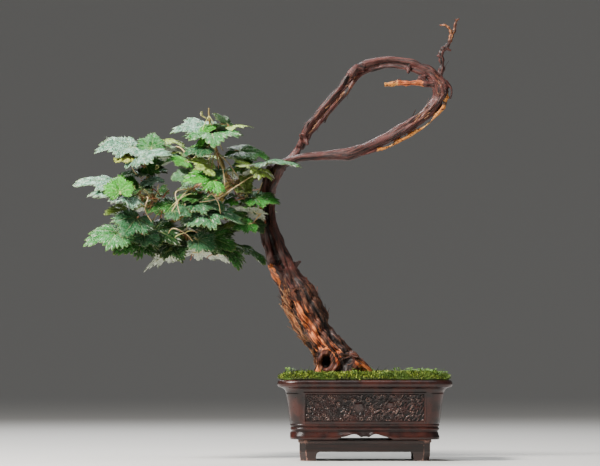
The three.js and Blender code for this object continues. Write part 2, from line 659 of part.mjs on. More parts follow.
// Each shoot: its stem as [x, y, z, radius], and its leaves as
// [petiole end x, y, z, tip x, y, z, tilt towards the front in degrees]
const SHOOTS = {
  upper_left: {
    stem: [
      [-284, -3, 378, 2.6], [-320, -14, 396, 2.3], [-332, -22, 424, 2], [-338, -28, 449, 1.8],
      [-345, -34, 468, 1.5],
    ],
    leaves: [
      [-361, -40, 485, -419, -52, 476, 28], [-353, -67, 467, -298, -72, 474, 22],
      [-331, -36, 484, -327, -14, 510, 60], [-316, -4, 498, -279, -12, 488, 10],
      [-366, -40, 473, -384, -46, 463, 35], [-350, -30, 445, -383, -48, 436, 12],
      [-339, -10, 456, -306, -18, 446, 40], [-336, -50, 434, -308, -60, 431, 25],
    ],
  },
  top: {
    stem: [
      [-230, -25, 481, 2.2], [-234, -30, 496, 2], [-238, -33, 512, 1.7], [-241, -34, 528, 1.4],
      [-242, -34, 547, 1],
    ],
    leaves: [
      [-239, 2, 519, -304, -14, 507, 22], [-236, -50, 507, -233, -108, 480, 45],
      [-209, -24, 517, -171, -20, 516, 8], [-214, -4, 524, -238, 4, 541, 12],
      [-247, -68, 481, -281, -80, 470, 20], [-277, -58, 461, -310, -64, 462, 24],
      [-241, -76, 451, -278, -80, 463, 28], [-227, -40, 445, -241, -34, 457, 55],
    ],
  },
  left: {
    stem: [[-272, -5, 384, 2.6], [-308, -28, 397, 2.2], [-340, -42, 409, 1.9], [-362, -50, 413, 1.5]],
    leaves: [
      [-384, -45, 431, -452, -58, 426, 16], [-375, -110, 412, -382, -86, 438, 60],
      [-366, -78, 409, -428, -96, 405, 22],
    ],
  },
  lower_left: {
    stem: [[-300, 0, 371, 2.6], [-326, -20, 370, 2.2], [-350, -36, 366, 1.9], [-368, -46, 360, 1.5]],
    leaves: [
      [-364, -46, 385, -404, -58, 380, 28], [-350, -86, 374, -373, -114, 342, 62],
      [-367, -56, 377, -379, -62, 357, 60], [-380, -60, 352, -435, -75, 332, 28],
    ],
  },
  bottom_left: {
    stem: [[-263, 0, 338, 2.6], [-287, -14, 337, 2.2], [-311, -24, 335, 1.9], [-328, -30, 333, 1.5]],
    leaves: [
      [-345, -45, 340, -389, -65, 318, 50], [-342, -62, 349, -314, -70, 332, 45],
      [-327, -45, 357, -284, -58, 334, 45], [-300, -42, 334, -281, -62, 305, 45],
      [-300, 2, 322, -344, -6, 292, -38],
    ],
  },
  bottom_right: {
    stem: [[-250, 8, 352, 2.6], [-244, -6, 343, 2.2], [-232, -22, 334, 1.9], [-217, -32, 330, 1.5]],
    leaves: [
      [-258, -72, 341, -230, -84, 324, 50], [-241, -52, 345, -199, -62, 325, 42],
      [-261, -20, 323, -209, -24, 304, -22], [-223, -50, 329, -195, -74, 292, 45],
      [-199, -20, 334, -160, -36, 300, 35], [-239, -25, 362, -211, -35, 346, 35],
    ],
  },
  right: {
    stem: [[-233, 13, 388, 2.6], [-217, -5, 380, 2.2], [-194, -16, 373, 1.9], [-172, -22, 368, 1.5]],
    leaves: [
      [-252, -68, 384, -185, -82, 366, 26], [-166, -46, 369, -206, -60, 356, 35],
      [-169, -28, 368, -157, -32, 351, 40], [-166, -34, 383, -213, -42, 385, -12],
    ],
  },
  upper_right: {
    stem: [[-205, 10, 430, 2.6], [-203, -14, 428, 2.3], [-190, -30, 440, 1.9], [-174, -36, 450, 1.5]],
    leaves: [
      [-194, -12, 484, -142, -8, 466, 24], [-161, -36, 451, -227, -34, 473, 14],
      [-158, -50, 460, -95, -58, 449, 15],
    ],
  },
  centre: {
    stem: [[-244, 0, 401, 2.6], [-248, -28, 404, 2.3], [-257, -52, 414, 1.9], [-268, -66, 420, 1.5]],
    leaves: [
      [-270, -72, 437, -299, -80, 434, 52], [-233, -88, 432, -280, -104, 430, 40],
      [-261, -72, 399, -216, -78, 388, 30], [-294, -88, 384, -266, -100, 375, 42],
      [-294, -55, 395, -333, -62, 385, 35], [-230, -62, 437, -214, -58, 449, 50],
    ],
  },
  trunk_side: {
    stem: [[-160, -3, 396, 2.4], [-166, -16, 400, 2.1], [-172, -26, 403, 1.7], [-180, -32, 405, 1.4]],
    leaves: [
      [-170, -37, 407, -130, -45, 396, 28], [-169, -25, 404, -194, -30, 410, 25],
      [-203, -45, 402, -220, -50, 397, 35], [-213, -38, 409, -197, -42, 409, 25],
    ],
  },
};

// The rear of the crown: stems placed by hand, leaves by rule. out is the way they lean, in degrees from
// +X towards +Y.
const REAR_SHOOTS = {
  rear_upper: {
    stem: [[-244, 79, 416, 2], [-248, 82, 438, 2.2], [-262, 80, 464, 1.9], [-282, 74, 484, 1.5]],
    out: 95,
    count: 5,
  },
  rear_left: {
    stem: [[-252, 86, 410.5, 2], [-288, 90, 400, 2.2], [-322, 82, 398, 1.9], [-350, 70, 402, 1.5]],
    out: 160,
    count: 5,
  },
  rear_lower: {
    stem: [[-245.5, 11, 362, 2.2], [-250, 34, 350, 2], [-262, 60, 338, 1.9], [-278, 76, 330, 1.5]],
    out: 120,
    count: 4,
  },
  rear_right: {
    stem: [[-203, 32, 437, 2.2], [-200, 54, 430, 2.2], [-188, 72, 414, 1.9], [-178, 82, 394, 1.5]],
    out: 60,
    count: 4,
  },
};

function rearLeaves({ stem, out, count }, random) {
  const route = alongRows(stem, 12);
  return Array.from({ length: count }, (unused, i) => {
    const [x, y, z] = route[Math.round((12 * (i + 1)) / count)];
    const turn = i % 2 === 0 ? 1 : -1;
    const away = THREE.MathUtils.degToRad(out + turn * (20 + 45 * random()));
    const reach = 20 + 16 * random();
    const length = 44 + 16 * random();
    const lift = 3 + 8 * (i % 3) + 5 * random();
    const drop = 4 + 12 * random();
    const joint = [x + reach * Math.cos(away), y + reach * Math.sin(away), z + lift];
    const end = [joint[0] + length * Math.cos(away), joint[1] + length * Math.sin(away), joint[2] - drop];
    return [...joint, ...end, -6 - 22 * random()];
  });
}

function makeShoot(shoot, woodRoom, random) {
  const route = alongRows(shoot.stem, 12);
  const solids = [sweep(shoot.stem, { sides: 4, steps: 5 })];
  shoot.leaves.forEach((row) => {
    const joint = new THREE.Vector3(row[0], row[1], row[2]);
    const tip = new THREE.Vector3(row[3], row[4], row[5]);
    const frame = leafFrame(joint, tip, row[6]);
    const arch = 0.05 + 0.05 * random();
    const fold = 0.04 + 0.14 * random();
    const from = nearestOnRoute(route, joint).there;
    solids.push(makeLeaf(from, joint, frame, arch, fold));
  });
  return joined(solids).subtract(woodRoom);
}

// Assembly

const wood = makeWood(0);
const woodRoom = makeWood(GAP);
const hole = footHole();
const pieces = [
  ["stand", makeStand(), "stand_wood"],
  ["pot", makePot(), "pot_clay"],
  ["drain_screen_left", makeScreen(-DRAIN_SPACING / 2), "screen_plastic"],
  ["drain_screen_right", makeScreen(DRAIN_SPACING / 2), "screen_plastic"],
  ["soil", makeSoil(hole), "soil"],
  ["moss", makeMoss(hole), "moss"],
  ["vine_wood", wood, "bark"],
];
const random = draws(20761);
Object.values(REAR_SHOOTS).forEach((shoot) => {
  shoot.leaves = rearLeaves(shoot, random);
});
Object.entries({ ...SHOOTS, ...REAR_SHOOTS }).forEach(([name, shoot]) => {
  pieces.push([`shoot_${name}`, makeShoot(shoot, woodRoom, random), "leaf"]);
});

const reach = new THREE.Box3();
pieces.forEach(([, solid]) => {
  const { min, max } = solid.boundingBox();
  reach.expandByPoint(new THREE.Vector3(...min));
  reach.expandByPoint(new THREE.Vector3(...max));
});
const middle = reach.getCenter(new THREE.Vector3());
const shift = [middle.x, middle.y, reach.min.z];

const plant = new THREE.Group();
plant.name = "grapevine_bonsai";
pieces.forEach(([name, solid, slot]) => plant.add(namedMesh(name, solid, slot, shift)));

export default plant;
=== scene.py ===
import math

import bmesh
import bpy
import numpy as np
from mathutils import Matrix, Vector, kdtree, noise


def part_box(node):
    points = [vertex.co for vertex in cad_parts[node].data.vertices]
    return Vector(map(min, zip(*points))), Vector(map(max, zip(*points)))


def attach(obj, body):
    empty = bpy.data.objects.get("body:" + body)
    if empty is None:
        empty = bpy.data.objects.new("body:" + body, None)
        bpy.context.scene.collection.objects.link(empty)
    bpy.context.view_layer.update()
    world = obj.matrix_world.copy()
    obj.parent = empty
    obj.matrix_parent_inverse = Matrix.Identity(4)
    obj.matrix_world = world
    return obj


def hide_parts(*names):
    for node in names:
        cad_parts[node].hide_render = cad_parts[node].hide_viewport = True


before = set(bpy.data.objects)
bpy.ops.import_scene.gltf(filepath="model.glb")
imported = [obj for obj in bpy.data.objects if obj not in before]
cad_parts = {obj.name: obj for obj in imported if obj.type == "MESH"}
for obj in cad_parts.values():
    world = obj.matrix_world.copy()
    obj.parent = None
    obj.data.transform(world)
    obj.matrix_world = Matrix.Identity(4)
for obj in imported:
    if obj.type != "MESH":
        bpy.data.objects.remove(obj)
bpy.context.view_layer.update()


# Stand. A low table of dark stained wood on four bracket legs, glued up, chamfered at the corners
# and lacquered. The lacquer is worn through along its outer edges. The pot only rests on it.

MM = 0.001
pot_low, pot_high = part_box("pot")
POT_MIDDLE = (pot_low + pot_high) / 2
STAND_EDGE_ROUND = 0.7
STAND_LONGEST_EDGE = 8.0
STAND_WEAR_REACH = 3.6
SHARP_ANGLE = math.radians(25)
SPLIT_ROUNDS = 6


def srgb(red, green, blue):
    """The linear colour of a screen colour given from 0 to 255."""
    shares = [value / 255 for value in (red, green, blue)]
    linear = [c / 12.92 if c <= 0.04045 else ((c + 0.055) / 1.055) ** 2.4 for c in shares]
    return (*linear, 1.0)


def in_frame(points):
    """Millimetres from the pot's middle and up from the table, as metres in the frame."""
    return np.asarray(points, float) * MM + np.array([POT_MIDDLE.x, POT_MIDDLE.y, 0.0])


def node(tree, kind, inputs=None, **settings):
    """Adds a node. inputs gives its sockets a value or the socket that feeds them."""
    made = tree.nodes.new(kind)
    for name, value in settings.items():
        setattr(made, name, value)
    for name, value in (inputs or {}).items():
        if isinstance(value, bpy.types.NodeSocket):
            tree.links.new(value, made.inputs[name])
        else:
            made.inputs[name].default_value = value
    return made


def maths(tree, operation, first, second=0.0):
    return node(tree, "ShaderNodeMath", {0: first, 1: second}, operation=operation).outputs[0]


def plus(tree, first, second):
    return maths(tree, "ADD", first, second)


def minus(tree, first, second):
    return maths(tree, "SUBTRACT", first, second)


def times(tree, first, second):
    return maths(tree, "MULTIPLY", first, second)


def step_up(tree, value, low, high):
    """A smooth step from 0 at low to 1 at high. With low over high it steps down."""
    inputs = {"Value": value, "From Min": low, "From Max": high}
    return node(tree, "ShaderNodeMapRange", inputs, interpolation_type="SMOOTHSTEP").outputs[0]


def blend(tree, share, first, second):
    """Mixes two colours."""
    return node(tree, "ShaderNodeMix", {0: share, 6: first, 7: second}, data_type="RGBA").outputs[2]


def attribute(tree, name, output="Fac"):
    return node(tree, "ShaderNodeAttribute", attribute_name=name).outputs[output]


def bumped(tree, height, distance, strength=1.0):
    inputs = {"Height": height, "Distance": distance, "Strength": strength}
    return node(tree, "ShaderNodeBump", inputs).outputs["Normal"]


def new_group(name, kind, inputs, outputs):
    """A node group with named sockets, and its input and output nodes."""
    group = bpy.data.node_groups.new(name, kind)
    for label, socket_type, default in inputs:
        socket = group.interface.new_socket(label, in_out="INPUT", socket_type="NodeSocket" + socket_type)
        if default is not None:
            socket.default_value = default
    for label, socket_type in outputs:
        group.interface.new_socket(label, in_out="OUTPUT", socket_type="NodeSocket" + socket_type)
    return group, group.nodes.new("NodeGroupInput").outputs, group.nodes.new("NodeGroupOutput").inputs


def make_mottle():
    """Soft spots in two sizes. Size is the broad spots' size in metres."""
    inputs = [("Place", "Vector", None), ("Size", "Float", 0.02)]
    outputs = [("Broad", "Float"), ("Fine", "Float")]
    tree, given, result = new_group("mottle", "ShaderNodeTree", inputs, outputs)
    for label, finer in (("Broad", 1.0), ("Fine", 9.0)):
        scale = maths(tree, "DIVIDE", finer, given["Size"])
        spots = node(tree, "ShaderNodeTexNoise", {"Vector": given["Place"], "Scale": scale, "Detail": 4.0})
        tree.links.new(spots.outputs["Fac"], result[label])
    return tree


def make_fibre():
    """Streaks that run along Z. Spacing is the broad streaks' width in metres."""
    inputs = [("Place", "Vector", None), ("Spacing", "Float", 0.002), ("Length", "Float", 14.0)]
    outputs = [("Streak", "Float"), ("Hair", "Float")]
    tree, given, result = new_group("fibre", "ShaderNodeTree", inputs, outputs)
    squeeze = maths(tree, "DIVIDE", 1.0, given["Length"])
    stretch = node(tree, "ShaderNodeCombineXYZ", {"X": 1.0, "Y": 1.0, "Z": squeeze}).outputs[0]
    place = node(
        tree, "ShaderNodeVectorMath", {0: given["Place"], 1: stretch}, operation="MULTIPLY"
    ).outputs[0]
    texture = {"Vector": place, "Detail": 3.0, "Roughness": 0.6, "Distortion": 0.2}
    for label, finer in (("Streak", 1.0), ("Hair", 4.0)):
        scale = maths(tree, "DIVIDE", finer, given["Spacing"])
        streaks = node(tree, "ShaderNodeTexNoise", {**texture, "Scale": scale})
        tree.links.new(streaks.outputs["Fac"], result[label])
    return tree


MOTTLE = make_mottle()
FIBRE = make_fibre()


def placed_group(tree, group, inputs):
    return node(tree, "ShaderNodeGroup", inputs, node_tree=group).outputs


def new_material(name, roughness, **settings):
    """A material, its tree, shader and Object coordinates. settings name the shader's sockets."""
    material = bpy.data.materials.new(name)
    material.use_nodes = True
    tree = material.node_tree
    shader = tree.nodes["Principled BSDF"]
    shader.inputs["Roughness"].default_value = roughness
    for label, value in settings.items():
        shader.inputs[label.replace("_", " ")].default_value = value
    return material, tree, shader, tree.nodes.new("ShaderNodeTexCoord").outputs["Object"]


def wire(tree, shader, **sockets):
    for label, socket in sockets.items():
        tree.links.new(socket, shader.inputs[label.replace("_", " ")])


def turned_place(tree, place, turn):
    return node(tree, "ShaderNodeMapping", {"Vector": place, "Rotation": turn}).outputs[0]


def linked(name, data):
    """A new object in the scene."""
    made = bpy.data.objects.new(name, data)
    bpy.context.scene.collection.objects.link(made)
    return made


def taken_mesh(work):
    """The mesh that an object's modifiers make. The object itself goes."""
    seen = work.evaluated_get(bpy.context.evaluated_depsgraph_get())
    result = bpy.data.meshes.new_from_object(seen)
    work.modifiers.clear()
    bpy.data.objects.remove(work)
    return result


def add_piece(name, cad_node, mesh, materials, smooth=True):
    """Gives a finished mesh to the frame as a piece that stands for a CAD node."""
    piece = linked(name, mesh)
    for material in materials:
        mesh.materials.append(material)
    mesh.polygons.foreach_set("use_smooth", np.full(len(mesh.polygons), smooth))
    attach(piece, "root")
    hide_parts(cad_node)


def new_mesh(name, points, faces, values=None):
    """A mesh from millimetre points, with a value or a vector at each point under each given name."""
    mesh = bpy.data.meshes.new(name)
    mesh.from_pydata(in_frame(points).tolist(), [], faces)
    set_values(mesh, values or {})
    return mesh


def set_values(mesh, values):
    for key, numbers in values.items():
        numbers = np.asarray(numbers, np.float32)
        kind, field = ("FLOAT", "value") if numbers.ndim == 1 else ("FLOAT_VECTOR", "vector")
        mesh.attributes.new(key, kind, "POINT").data.foreach_set(field, numbers.ravel())


def mesh_points(mesh):
    """A mesh's points in millimetres from the pot's middle."""
    flat = np.zeros(len(mesh.vertices) * 3)
    mesh.vertices.foreach_get("co", flat)
    return (flat.reshape(-1, 3) - np.array([POT_MIDDLE.x, POT_MIDDLE.y, 0.0])) / MM


def evaluated(mesh, *modifiers):
    """A new mesh with modifiers applied. Each is its type and its settings."""
    work = linked("work", mesh)
    for kind, settings in modifiers:
        modifier = work.modifiers.new(kind, kind)
        for name, value in settings.items():
            setattr(modifier, name, value)
    return taken_mesh(work)


def merged_copy(cad_node):
    """The CAD node's mesh with its loose triangles merged, and the two ends of each sharp edge."""
    mesh = bpy.data.meshes.new(cad_node)
    work = bmesh.new()
    work.from_mesh(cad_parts[cad_node].data)
    bmesh.ops.remove_doubles(work, verts=work.verts, dist=1e-6)
    sharp = [e for e in work.edges if e.is_manifold and e.calc_face_angle() > SHARP_ANGLE]
    ends = np.array([[tuple(v.co) for v in e.verts] for e in sharp])
    work.to_mesh(mesh)
    work.free()
    return mesh, ends


def split_long_edges(mesh, longest):
    """Halves a mesh's edges until none is longer than longest, in metres."""
    work = bmesh.new()
    work.from_mesh(mesh)
    for _ in range(SPLIT_ROUNDS):
        bmesh.ops.triangulate(work, faces=work.faces)
        long_edges = [e for e in work.edges if e.calc_length() > longest]
        if not long_edges:
            break
        bmesh.ops.subdivide_edges(work, edges=long_edges, cuts=1)
    bmesh.ops.triangulate(work, faces=work.faces)
    work.to_mesh(mesh)
    work.free()


def reach_to_edges(points, ends):
    """Each point's distance to the nearest of the edges, in metres."""
    start, along = ends[:, 0], ends[:, 1] - ends[:, 0]
    offset = points[:, None, :] - start[None]
    share = np.clip((offset * along).sum(2) / (along * along).sum(1), 0, 1)
    return np.linalg.norm(offset - share[..., None] * along, axis=2).min(1)


def make_stand_wood():
    material, tree, shader, place = new_material(
        "stained_wood", 0.42, Coat_Weight=0.25, Coat_Roughness=0.22
    )
    lengthwise = turned_place(tree, place, (0.0, math.pi / 2, 0.0))
    grain = placed_group(tree, FIBRE, {"Place": lengthwise, "Spacing": 0.0032, "Length": 18.0})
    spots = placed_group(tree, MOTTLE, {"Place": place, "Size": 0.03})
    streak = step_up(tree, grain["Streak"], 0.35, 0.68)
    stained = blend(tree, streak, srgb(27, 13, 9), srgb(52, 26, 18))
    stained = blend(tree, step_up(tree, spots["Broad"], 0.5, 0.75), stained, srgb(42, 19, 13))
    ragged = plus(tree, attribute(tree, "wear"), spots["Fine"])
    worn = step_up(tree, ragged, 1.08, 1.36)
    bare = blend(tree, grain["Hair"], srgb(104, 62, 50), srgb(172, 132, 116))
    colour = blend(tree, worn, stained, bare)
    rough = plus(tree, times(tree, worn, 0.3), times(tree, streak, 0.1))
    height = plus(tree, grain["Hair"], times(tree, worn, -0.6))
    wire(tree, shader, Base_Color=colour, Roughness=plus(tree, rough, 0.3))
    wire(tree, shader, Normal=bumped(tree, height, 0.0003, 0.6))
    return material


stand_mesh, stand_edges = merged_copy("stand")
bevel = {"width": STAND_EDGE_ROUND * MM, "segments": 2, "limit_method": "ANGLE"}
stand_mesh = evaluated(stand_mesh, ("BEVEL", bevel))
split_long_edges(stand_mesh, STAND_LONGEST_EDGE * MM)
stand_points = np.array([tuple(v.co) for v in stand_mesh.vertices])
stand_reach = reach_to_edges(stand_points, stand_edges)
stand_low, stand_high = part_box("stand")
stand_middle = (stand_low + stand_high) / 2
end_share = np.abs(stand_points[:, 0] - stand_middle.x) / (stand_high.x - stand_middle.x)
low_share = 1 - (stand_points[:, 2] - stand_low.z) / (stand_high.z - stand_low.z)
stand_wear = np.clip(1 - stand_reach / (STAND_WEAR_REACH * MM), 0, 1)
stand_wear *= np.interp(end_share, [0.6, 0.9], [0.3, 1])
stand_wear *= np.interp(low_share, [0, 0.3, 1], [0.9, 0.7, 1])
set_values(stand_mesh, {"wear": stand_wear})
add_piece("stand_table", "stand", stand_mesh, [make_stand_wood()], smooth=False)


# Pot. Pressed from dark stoneware clay in a mould, fired and rubbed: a rolled rim over a cove, leaning
# walls with framed relief panels and plain raised corners, two beads and a foot with a cloud-shaped
# cut-out. It rests on the stand by its own weight.

POT_HALF_LENGTH = 135.0
POT_HALF_DEPTH = 95.0
POT_CORNER = 32.0
PANEL_SINK = 1.6
PANEL_SLOPE = 0.6
FRAME_LIFT = 0.7
FRAME_HEIGHT = 3.0
CORNER_PANEL_LIFT = 0.8
FIELD_HALF = 91.6
FIELD_HALF_SIDE = 50.2
FRAME_WIDTH = 2.4
FIELD_LOW, FIELD_HIGH = 61.0, 103.4
FOOT_LOW, FOOT_HIGH = 33.3, 45.5
CLOUD_HALF = 43.0
CLOUD_HALF_SIDE = 0.55 * CLOUD_HALF
CLOUD_HEIGHT = 8.5
CORNER_STEPS = 16
COLUMN_STEP = 2.0
DRAIN_PLACES = (-46.0, 46.0)
DRAIN_RADIUS = 9.0
DRAIN_SIDES = 32
DRAIN_CUT = (40, 60)

# Height above the table and how far it stands in from the rim's edge: foot inside, foot outside with
# the beads, and the wall from which the panels are sunk
FOOT_INSIDE = [(44.0, 36.6), (38.0, 36.2), (34.4, 36.0), (33.5, 35.4), (33.3, 34.4)]
FOOT_OUTSIDE = [
    (33.3, 22.0), (33.5, 20.9), (34.2, 20.1), (36.2, 19.5), (39.0, 20.2), (42.0, 21.4), (44.4, 22.2),
    (45.5, 22.5), (46.6, 22.4), (47.2, 21.4), (48.2, 20.5), (49.5, 20.2), (50.8, 20.5), (51.9, 21.4),
    (52.4, 22.0), (52.9, 21.9), (53.4, 20.9), (54.3, 20.0), (55.4, 19.8), (56.4, 20.1), (57.0, 20.6),
]
WALL = [(57.2, 20.5), (72.0, 18.4), (88.0, 16.6), (100.0, 14.4), (107.2, 12.6)]
RIM = [
    (108.0, 12.2), (109.6, 11.4), (111.2, 10.0), (112.5, 8.0), (113.4, 5.8), (113.9, 3.6), (114.5, 1.9),
    (115.7, 0.7), (117.4, 0.1), (119.6, 0.0), (121.6, 0.4), (123.3, 1.3), (124.5, 2.8), (125.0, 4.8),
    (124.9, 7.0), (124.2, 9.2), (122.6, 12.0), (120.0, 14.4), (116.0, 17.6), (108.0, 22.0), (88.0, 28.0),
    (60.0, 31.0), (54.0, 34.0),
]
# Half of the cut-out's upper edge, as shares of its half width and height from the middle out
CLOUD_EDGE = [
    (0, 0.5), (0.05, 0.56), (0.09, 0.5), (0.13, 0.36), (0.2, 0.62), (0.28, 0.88), (0.37, 1.0), (0.46, 0.95),
    (0.56, 0.78), (0.68, 0.56), (0.78, 0.46), (0.84, 0.42), (0.88, 0.24), (0.95, 0.1), (1, 0),
]


def side_columns(field_half):
    """Places along one side of the pot, with close pairs at the edges of the panel and its frame."""
    frame_half = field_half + FRAME_WIDTH
    edges = [frame_half + 0.4, frame_half - 0.2, field_half + PANEL_SLOPE, field_half]
    inner = field_half - PANEL_SLOPE
    middle_part = np.linspace(-inner, inner, round(2 * inner / COLUMN_STEP) + 1)
    return np.concatenate([[-edge for edge in edges], middle_part, edges[::-1]])


def inside_panel(along, z, half_along, low, high):
    """1 inside a panel on the pot's side, falling to 0 over its sloped edge."""
    out_along = np.interp(abs(along), [half_along - PANEL_SLOPE, half_along], [0, 1])
    out_low = np.interp(z, [low, low + PANEL_SLOPE], [1, 0])
    out_high = np.interp(z, [high - PANEL_SLOPE, high], [0, 1])
    return (1 - out_along) * (1 - max(out_low, out_high))


def panel_lift(along, z, field_half):
    """How far the wall stands out at a place on a side: the frame is raised and its field is sunk."""
    frame_half = field_half + FRAME_WIDTH + 0.4
    crest = inside_panel(along, z, frame_half, FIELD_LOW - FRAME_HEIGHT, FIELD_HIGH + FRAME_HEIGHT)
    field = inside_panel(along, z, field_half, FIELD_LOW, FIELD_HIGH)
    return FRAME_LIFT * crest - (FRAME_LIFT + PANEL_SINK) * field


def corner_lift(share, z):
    """How far the plain corner panel stands out at a share of the corner's quarter turn."""
    around = min(share, 1 - share)
    up = min(z - (FIELD_LOW - 1), (FIELD_HIGH + 1) - z)
    edge = np.interp(around, [0.12, 0.19], [0, 1])
    return CORNER_PANEL_LIFT * edge * np.interp(up, [0, CORNER_PANEL_LIFT], [0, 1])


def round_the_pot(along, out, quarter):
    """x and y of a place on one of the four sides: how far along it and how far out from the middle."""
    turn = quarter * math.pi / 2
    return along * math.cos(turn) + out * math.sin(turn), along * math.sin(turn) - out * math.cos(turn)


def pot_ring(z, inset, foot=False, panels=False):
    """One ring of the pot's wall, counted anticlockwise from the front's left end."""
    half_x, half_y = POT_HALF_LENGTH - inset, POT_HALF_DEPTH - inset
    radius = POT_CORNER - 0.5 * inset
    ring = []
    for quarter, (half_along, half_out, field_half) in enumerate(
        [(half_x, half_y, FIELD_HALF), (half_y, half_x, FIELD_HALF_SIDE)] * 2
    ):
        straight = half_along - radius
        columns = side_columns(field_half)
        columns = columns * min(1.0, straight / columns[-1])
        cloud = CLOUD_HALF if field_half == FIELD_HALF else CLOUD_HALF_SIDE
        local = []
        for along in columns:
            out = half_out + (panel_lift(along, z, field_half) if panels else 0.0)
            rise = CLOUD_HEIGHT * np.interp(abs(along) / cloud, *zip(*CLOUD_EDGE)) if foot else 0.0
            local.append((along, out, z + rise * (FOOT_HIGH - z) / (FOOT_HIGH - FOOT_LOW)))
        for step in range(CORNER_STEPS + 1):
            share = step / CORNER_STEPS
            angle = share * math.pi / 2
            reach = radius + (corner_lift(share, z) if panels else 0.0)
            along, out = straight + reach * math.sin(angle), half_out - radius + reach * math.cos(angle)
            local.append((along, out, z))
        ring += [(*round_the_pot(along, out, quarter), height) for along, out, height in local]
    return ring


def skin(rings, closed_ends=True):
    """Points and faces of a stack of rings, each with the same number of points."""
    sides = len(rings[0])
    points = [point for ring in rings for point in ring]
    faces = []
    for i in range(len(rings) - 1):
        for j in range(sides):
            a, b = i * sides + j, i * sides + (j + 1) % sides
            faces.append((a, b, b + sides, a + sides))
    if closed_ends:
        for row, order in ((0, -1), (len(rings) - 1, 1)):
            points.append(tuple(np.mean(rings[row], axis=0)))
            for j in range(sides):
                edge = (row * sides + j, row * sides + (j + 1) % sides)
                faces.append((*edge[::order], len(points) - 1))
    return points, faces


def wall_rows():
    """The wall's rows, close together where a panel or its frame ends."""
    breaks = [FIELD_LOW + z for z in (-FRAME_HEIGHT, -2.4, -1, -0.2, 0, PANEL_SLOPE)]
    mirrored = [FIELD_LOW + FIELD_HIGH - z for z in breaks]
    heights = sorted({WALL[0][0], WALL[-1][0], *breaks, *mirrored, *np.linspace(66, 98, 9)})
    return [(z, np.interp(z, *zip(*WALL))) for z in heights]


def make_stoneware():
    material, tree, shader, place = new_material(
        "stoneware", 0.34, Specular_IOR_Level=0.4, Coat_Roughness=0.12
    )
    spots = placed_group(tree, MOTTLE, {"Place": place, "Size": 0.022})
    grit = placed_group(tree, MOTTLE, {"Place": place, "Size": 0.0045})
    high = attribute(tree, "high")
    fired = blend(tree, step_up(tree, spots["Broad"], 0.36, 0.66), srgb(26, 10, 8), srgb(60, 24, 16))
    fired = blend(tree, step_up(tree, spots["Fine"], 0.56, 0.78), fired, srgb(24, 13, 11))
    # The relief's sunk ground darkens towards near black: painted shade in its hollows.
    hollow = step_up(tree, high, 0.34, 0.02)
    sunk_ground_shaded = blend(tree, hollow, fired, srgb(12, 7, 6))
    # The relief's highest ridges turn pale: partly clay rubbed smooth, partly a painted highlight on the
    # ridges.
    rubbed_and_highlit = times(tree, step_up(tree, high, 0.66, 0.95), 0.6)
    colour = blend(tree, rubbed_and_highlit, sunk_ground_shaded, srgb(158, 122, 108))
    rough = plus(tree, times(tree, grit["Broad"], 0.24), 0.2)
    rough = plus(tree, rough, times(tree, hollow, 0.3))
    rough = minus(tree, rough, times(tree, step_up(tree, high, 0.5, 0.8), 0.1))
    glaze = plus(tree, 0.15, times(tree, step_up(tree, high, 0.52, 0.8), 0.8))
    wire(
        tree, shader, Base_Color=colour, Roughness=rough, Coat_Weight=glaze,
        Normal=bumped(tree, grit["Fine"], 0.00025, 0.7),
    )
    return material


STONEWARE = make_stoneware()
pot_rings = [pot_ring(z, inset, foot=True) for z, inset in FOOT_INSIDE]
pot_rings += [pot_ring(z, inset, foot=z < FOOT_HIGH) for z, inset in FOOT_OUTSIDE]
pot_rings += [pot_ring(z, inset, panels=True) for z, inset in wall_rows()]
pot_rings += [pot_ring(z, inset) for z, inset in RIM]
pot_points, pot_faces = skin(pot_rings)
pot_mesh = new_mesh("pot_body", pot_points, pot_faces)
drain_turns = np.linspace(0, 2 * math.pi, DRAIN_SIDES, endpoint=False)
drain_round = [(DRAIN_RADIUS * math.cos(t), DRAIN_RADIUS * math.sin(t)) for t in drain_turns]
for middle in DRAIN_PLACES:
    rings = [[(middle + x, y, z) for x, y in drain_round] for z in DRAIN_CUT]
    cutter = linked("cutter", new_mesh("cutter", *skin(rings)))
    cut = {"object": cutter, "operation": "DIFFERENCE", "solver": "EXACT"}
    pot_mesh = evaluated(pot_mesh, ("BOOLEAN", cut))
    bpy.data.objects.remove(cutter)
set_values(pot_mesh, {"high": np.full(len(pot_mesh.vertices), 0.45)})
add_piece("pot_body", "pot", pot_mesh, [STONEWARE])


# Relief panels. Pressed from the same clay into the four fields: scrolling clouds at one end, blossoms
# and bare rocks in the middle, and slanting leaf sprays at the other, standing out of a sunk ground.

RELIEF_STEP = 0.62
RELIEF_CELL = 6.2
RELIEF_RISE = 2.3
MOTIF_SIZES = (3.4, 5.2)
RELIEF_SEED = 31
# Each rock's place along and up its panel, as shares, and its size
ROCKS = [(0.45, 0.52, 9.0), (0.71, 0.6, 6.0)]


def smooth_step(value, low, high):
    share = np.clip((value - low) / (high - low), 0, 1)
    return share * share * (3 - 2 * share)


def scroll_motif(x, z, size, turn):
    """A cloud scroll: a steep ridge that winds in to a small boss."""
    reach, angle = np.hypot(x, z), np.arctan2(z, x)
    winding = 0.5 + 0.5 * np.cos(2 * math.pi * reach / (0.46 * size) - turn * angle)
    return (0.12 + 0.88 * smooth_step(winding, 0.3, 0.75)) * smooth_step(reach, size, 0.8 * size)


def blossom_motif(x, z, size, turn):
    """Five cupped petals round a boss."""
    reach, angle = np.hypot(x, z), np.arctan2(z, x)
    edge = size * (0.7 + 0.28 * np.cos(5 * angle + turn))
    cup = 0.35 + 0.65 * (reach / edge) ** 2
    boss = smooth_step(reach, 0.3 * size, 0.2 * size)
    return np.maximum(cup * smooth_step(reach, edge, 0.9 * edge), boss)


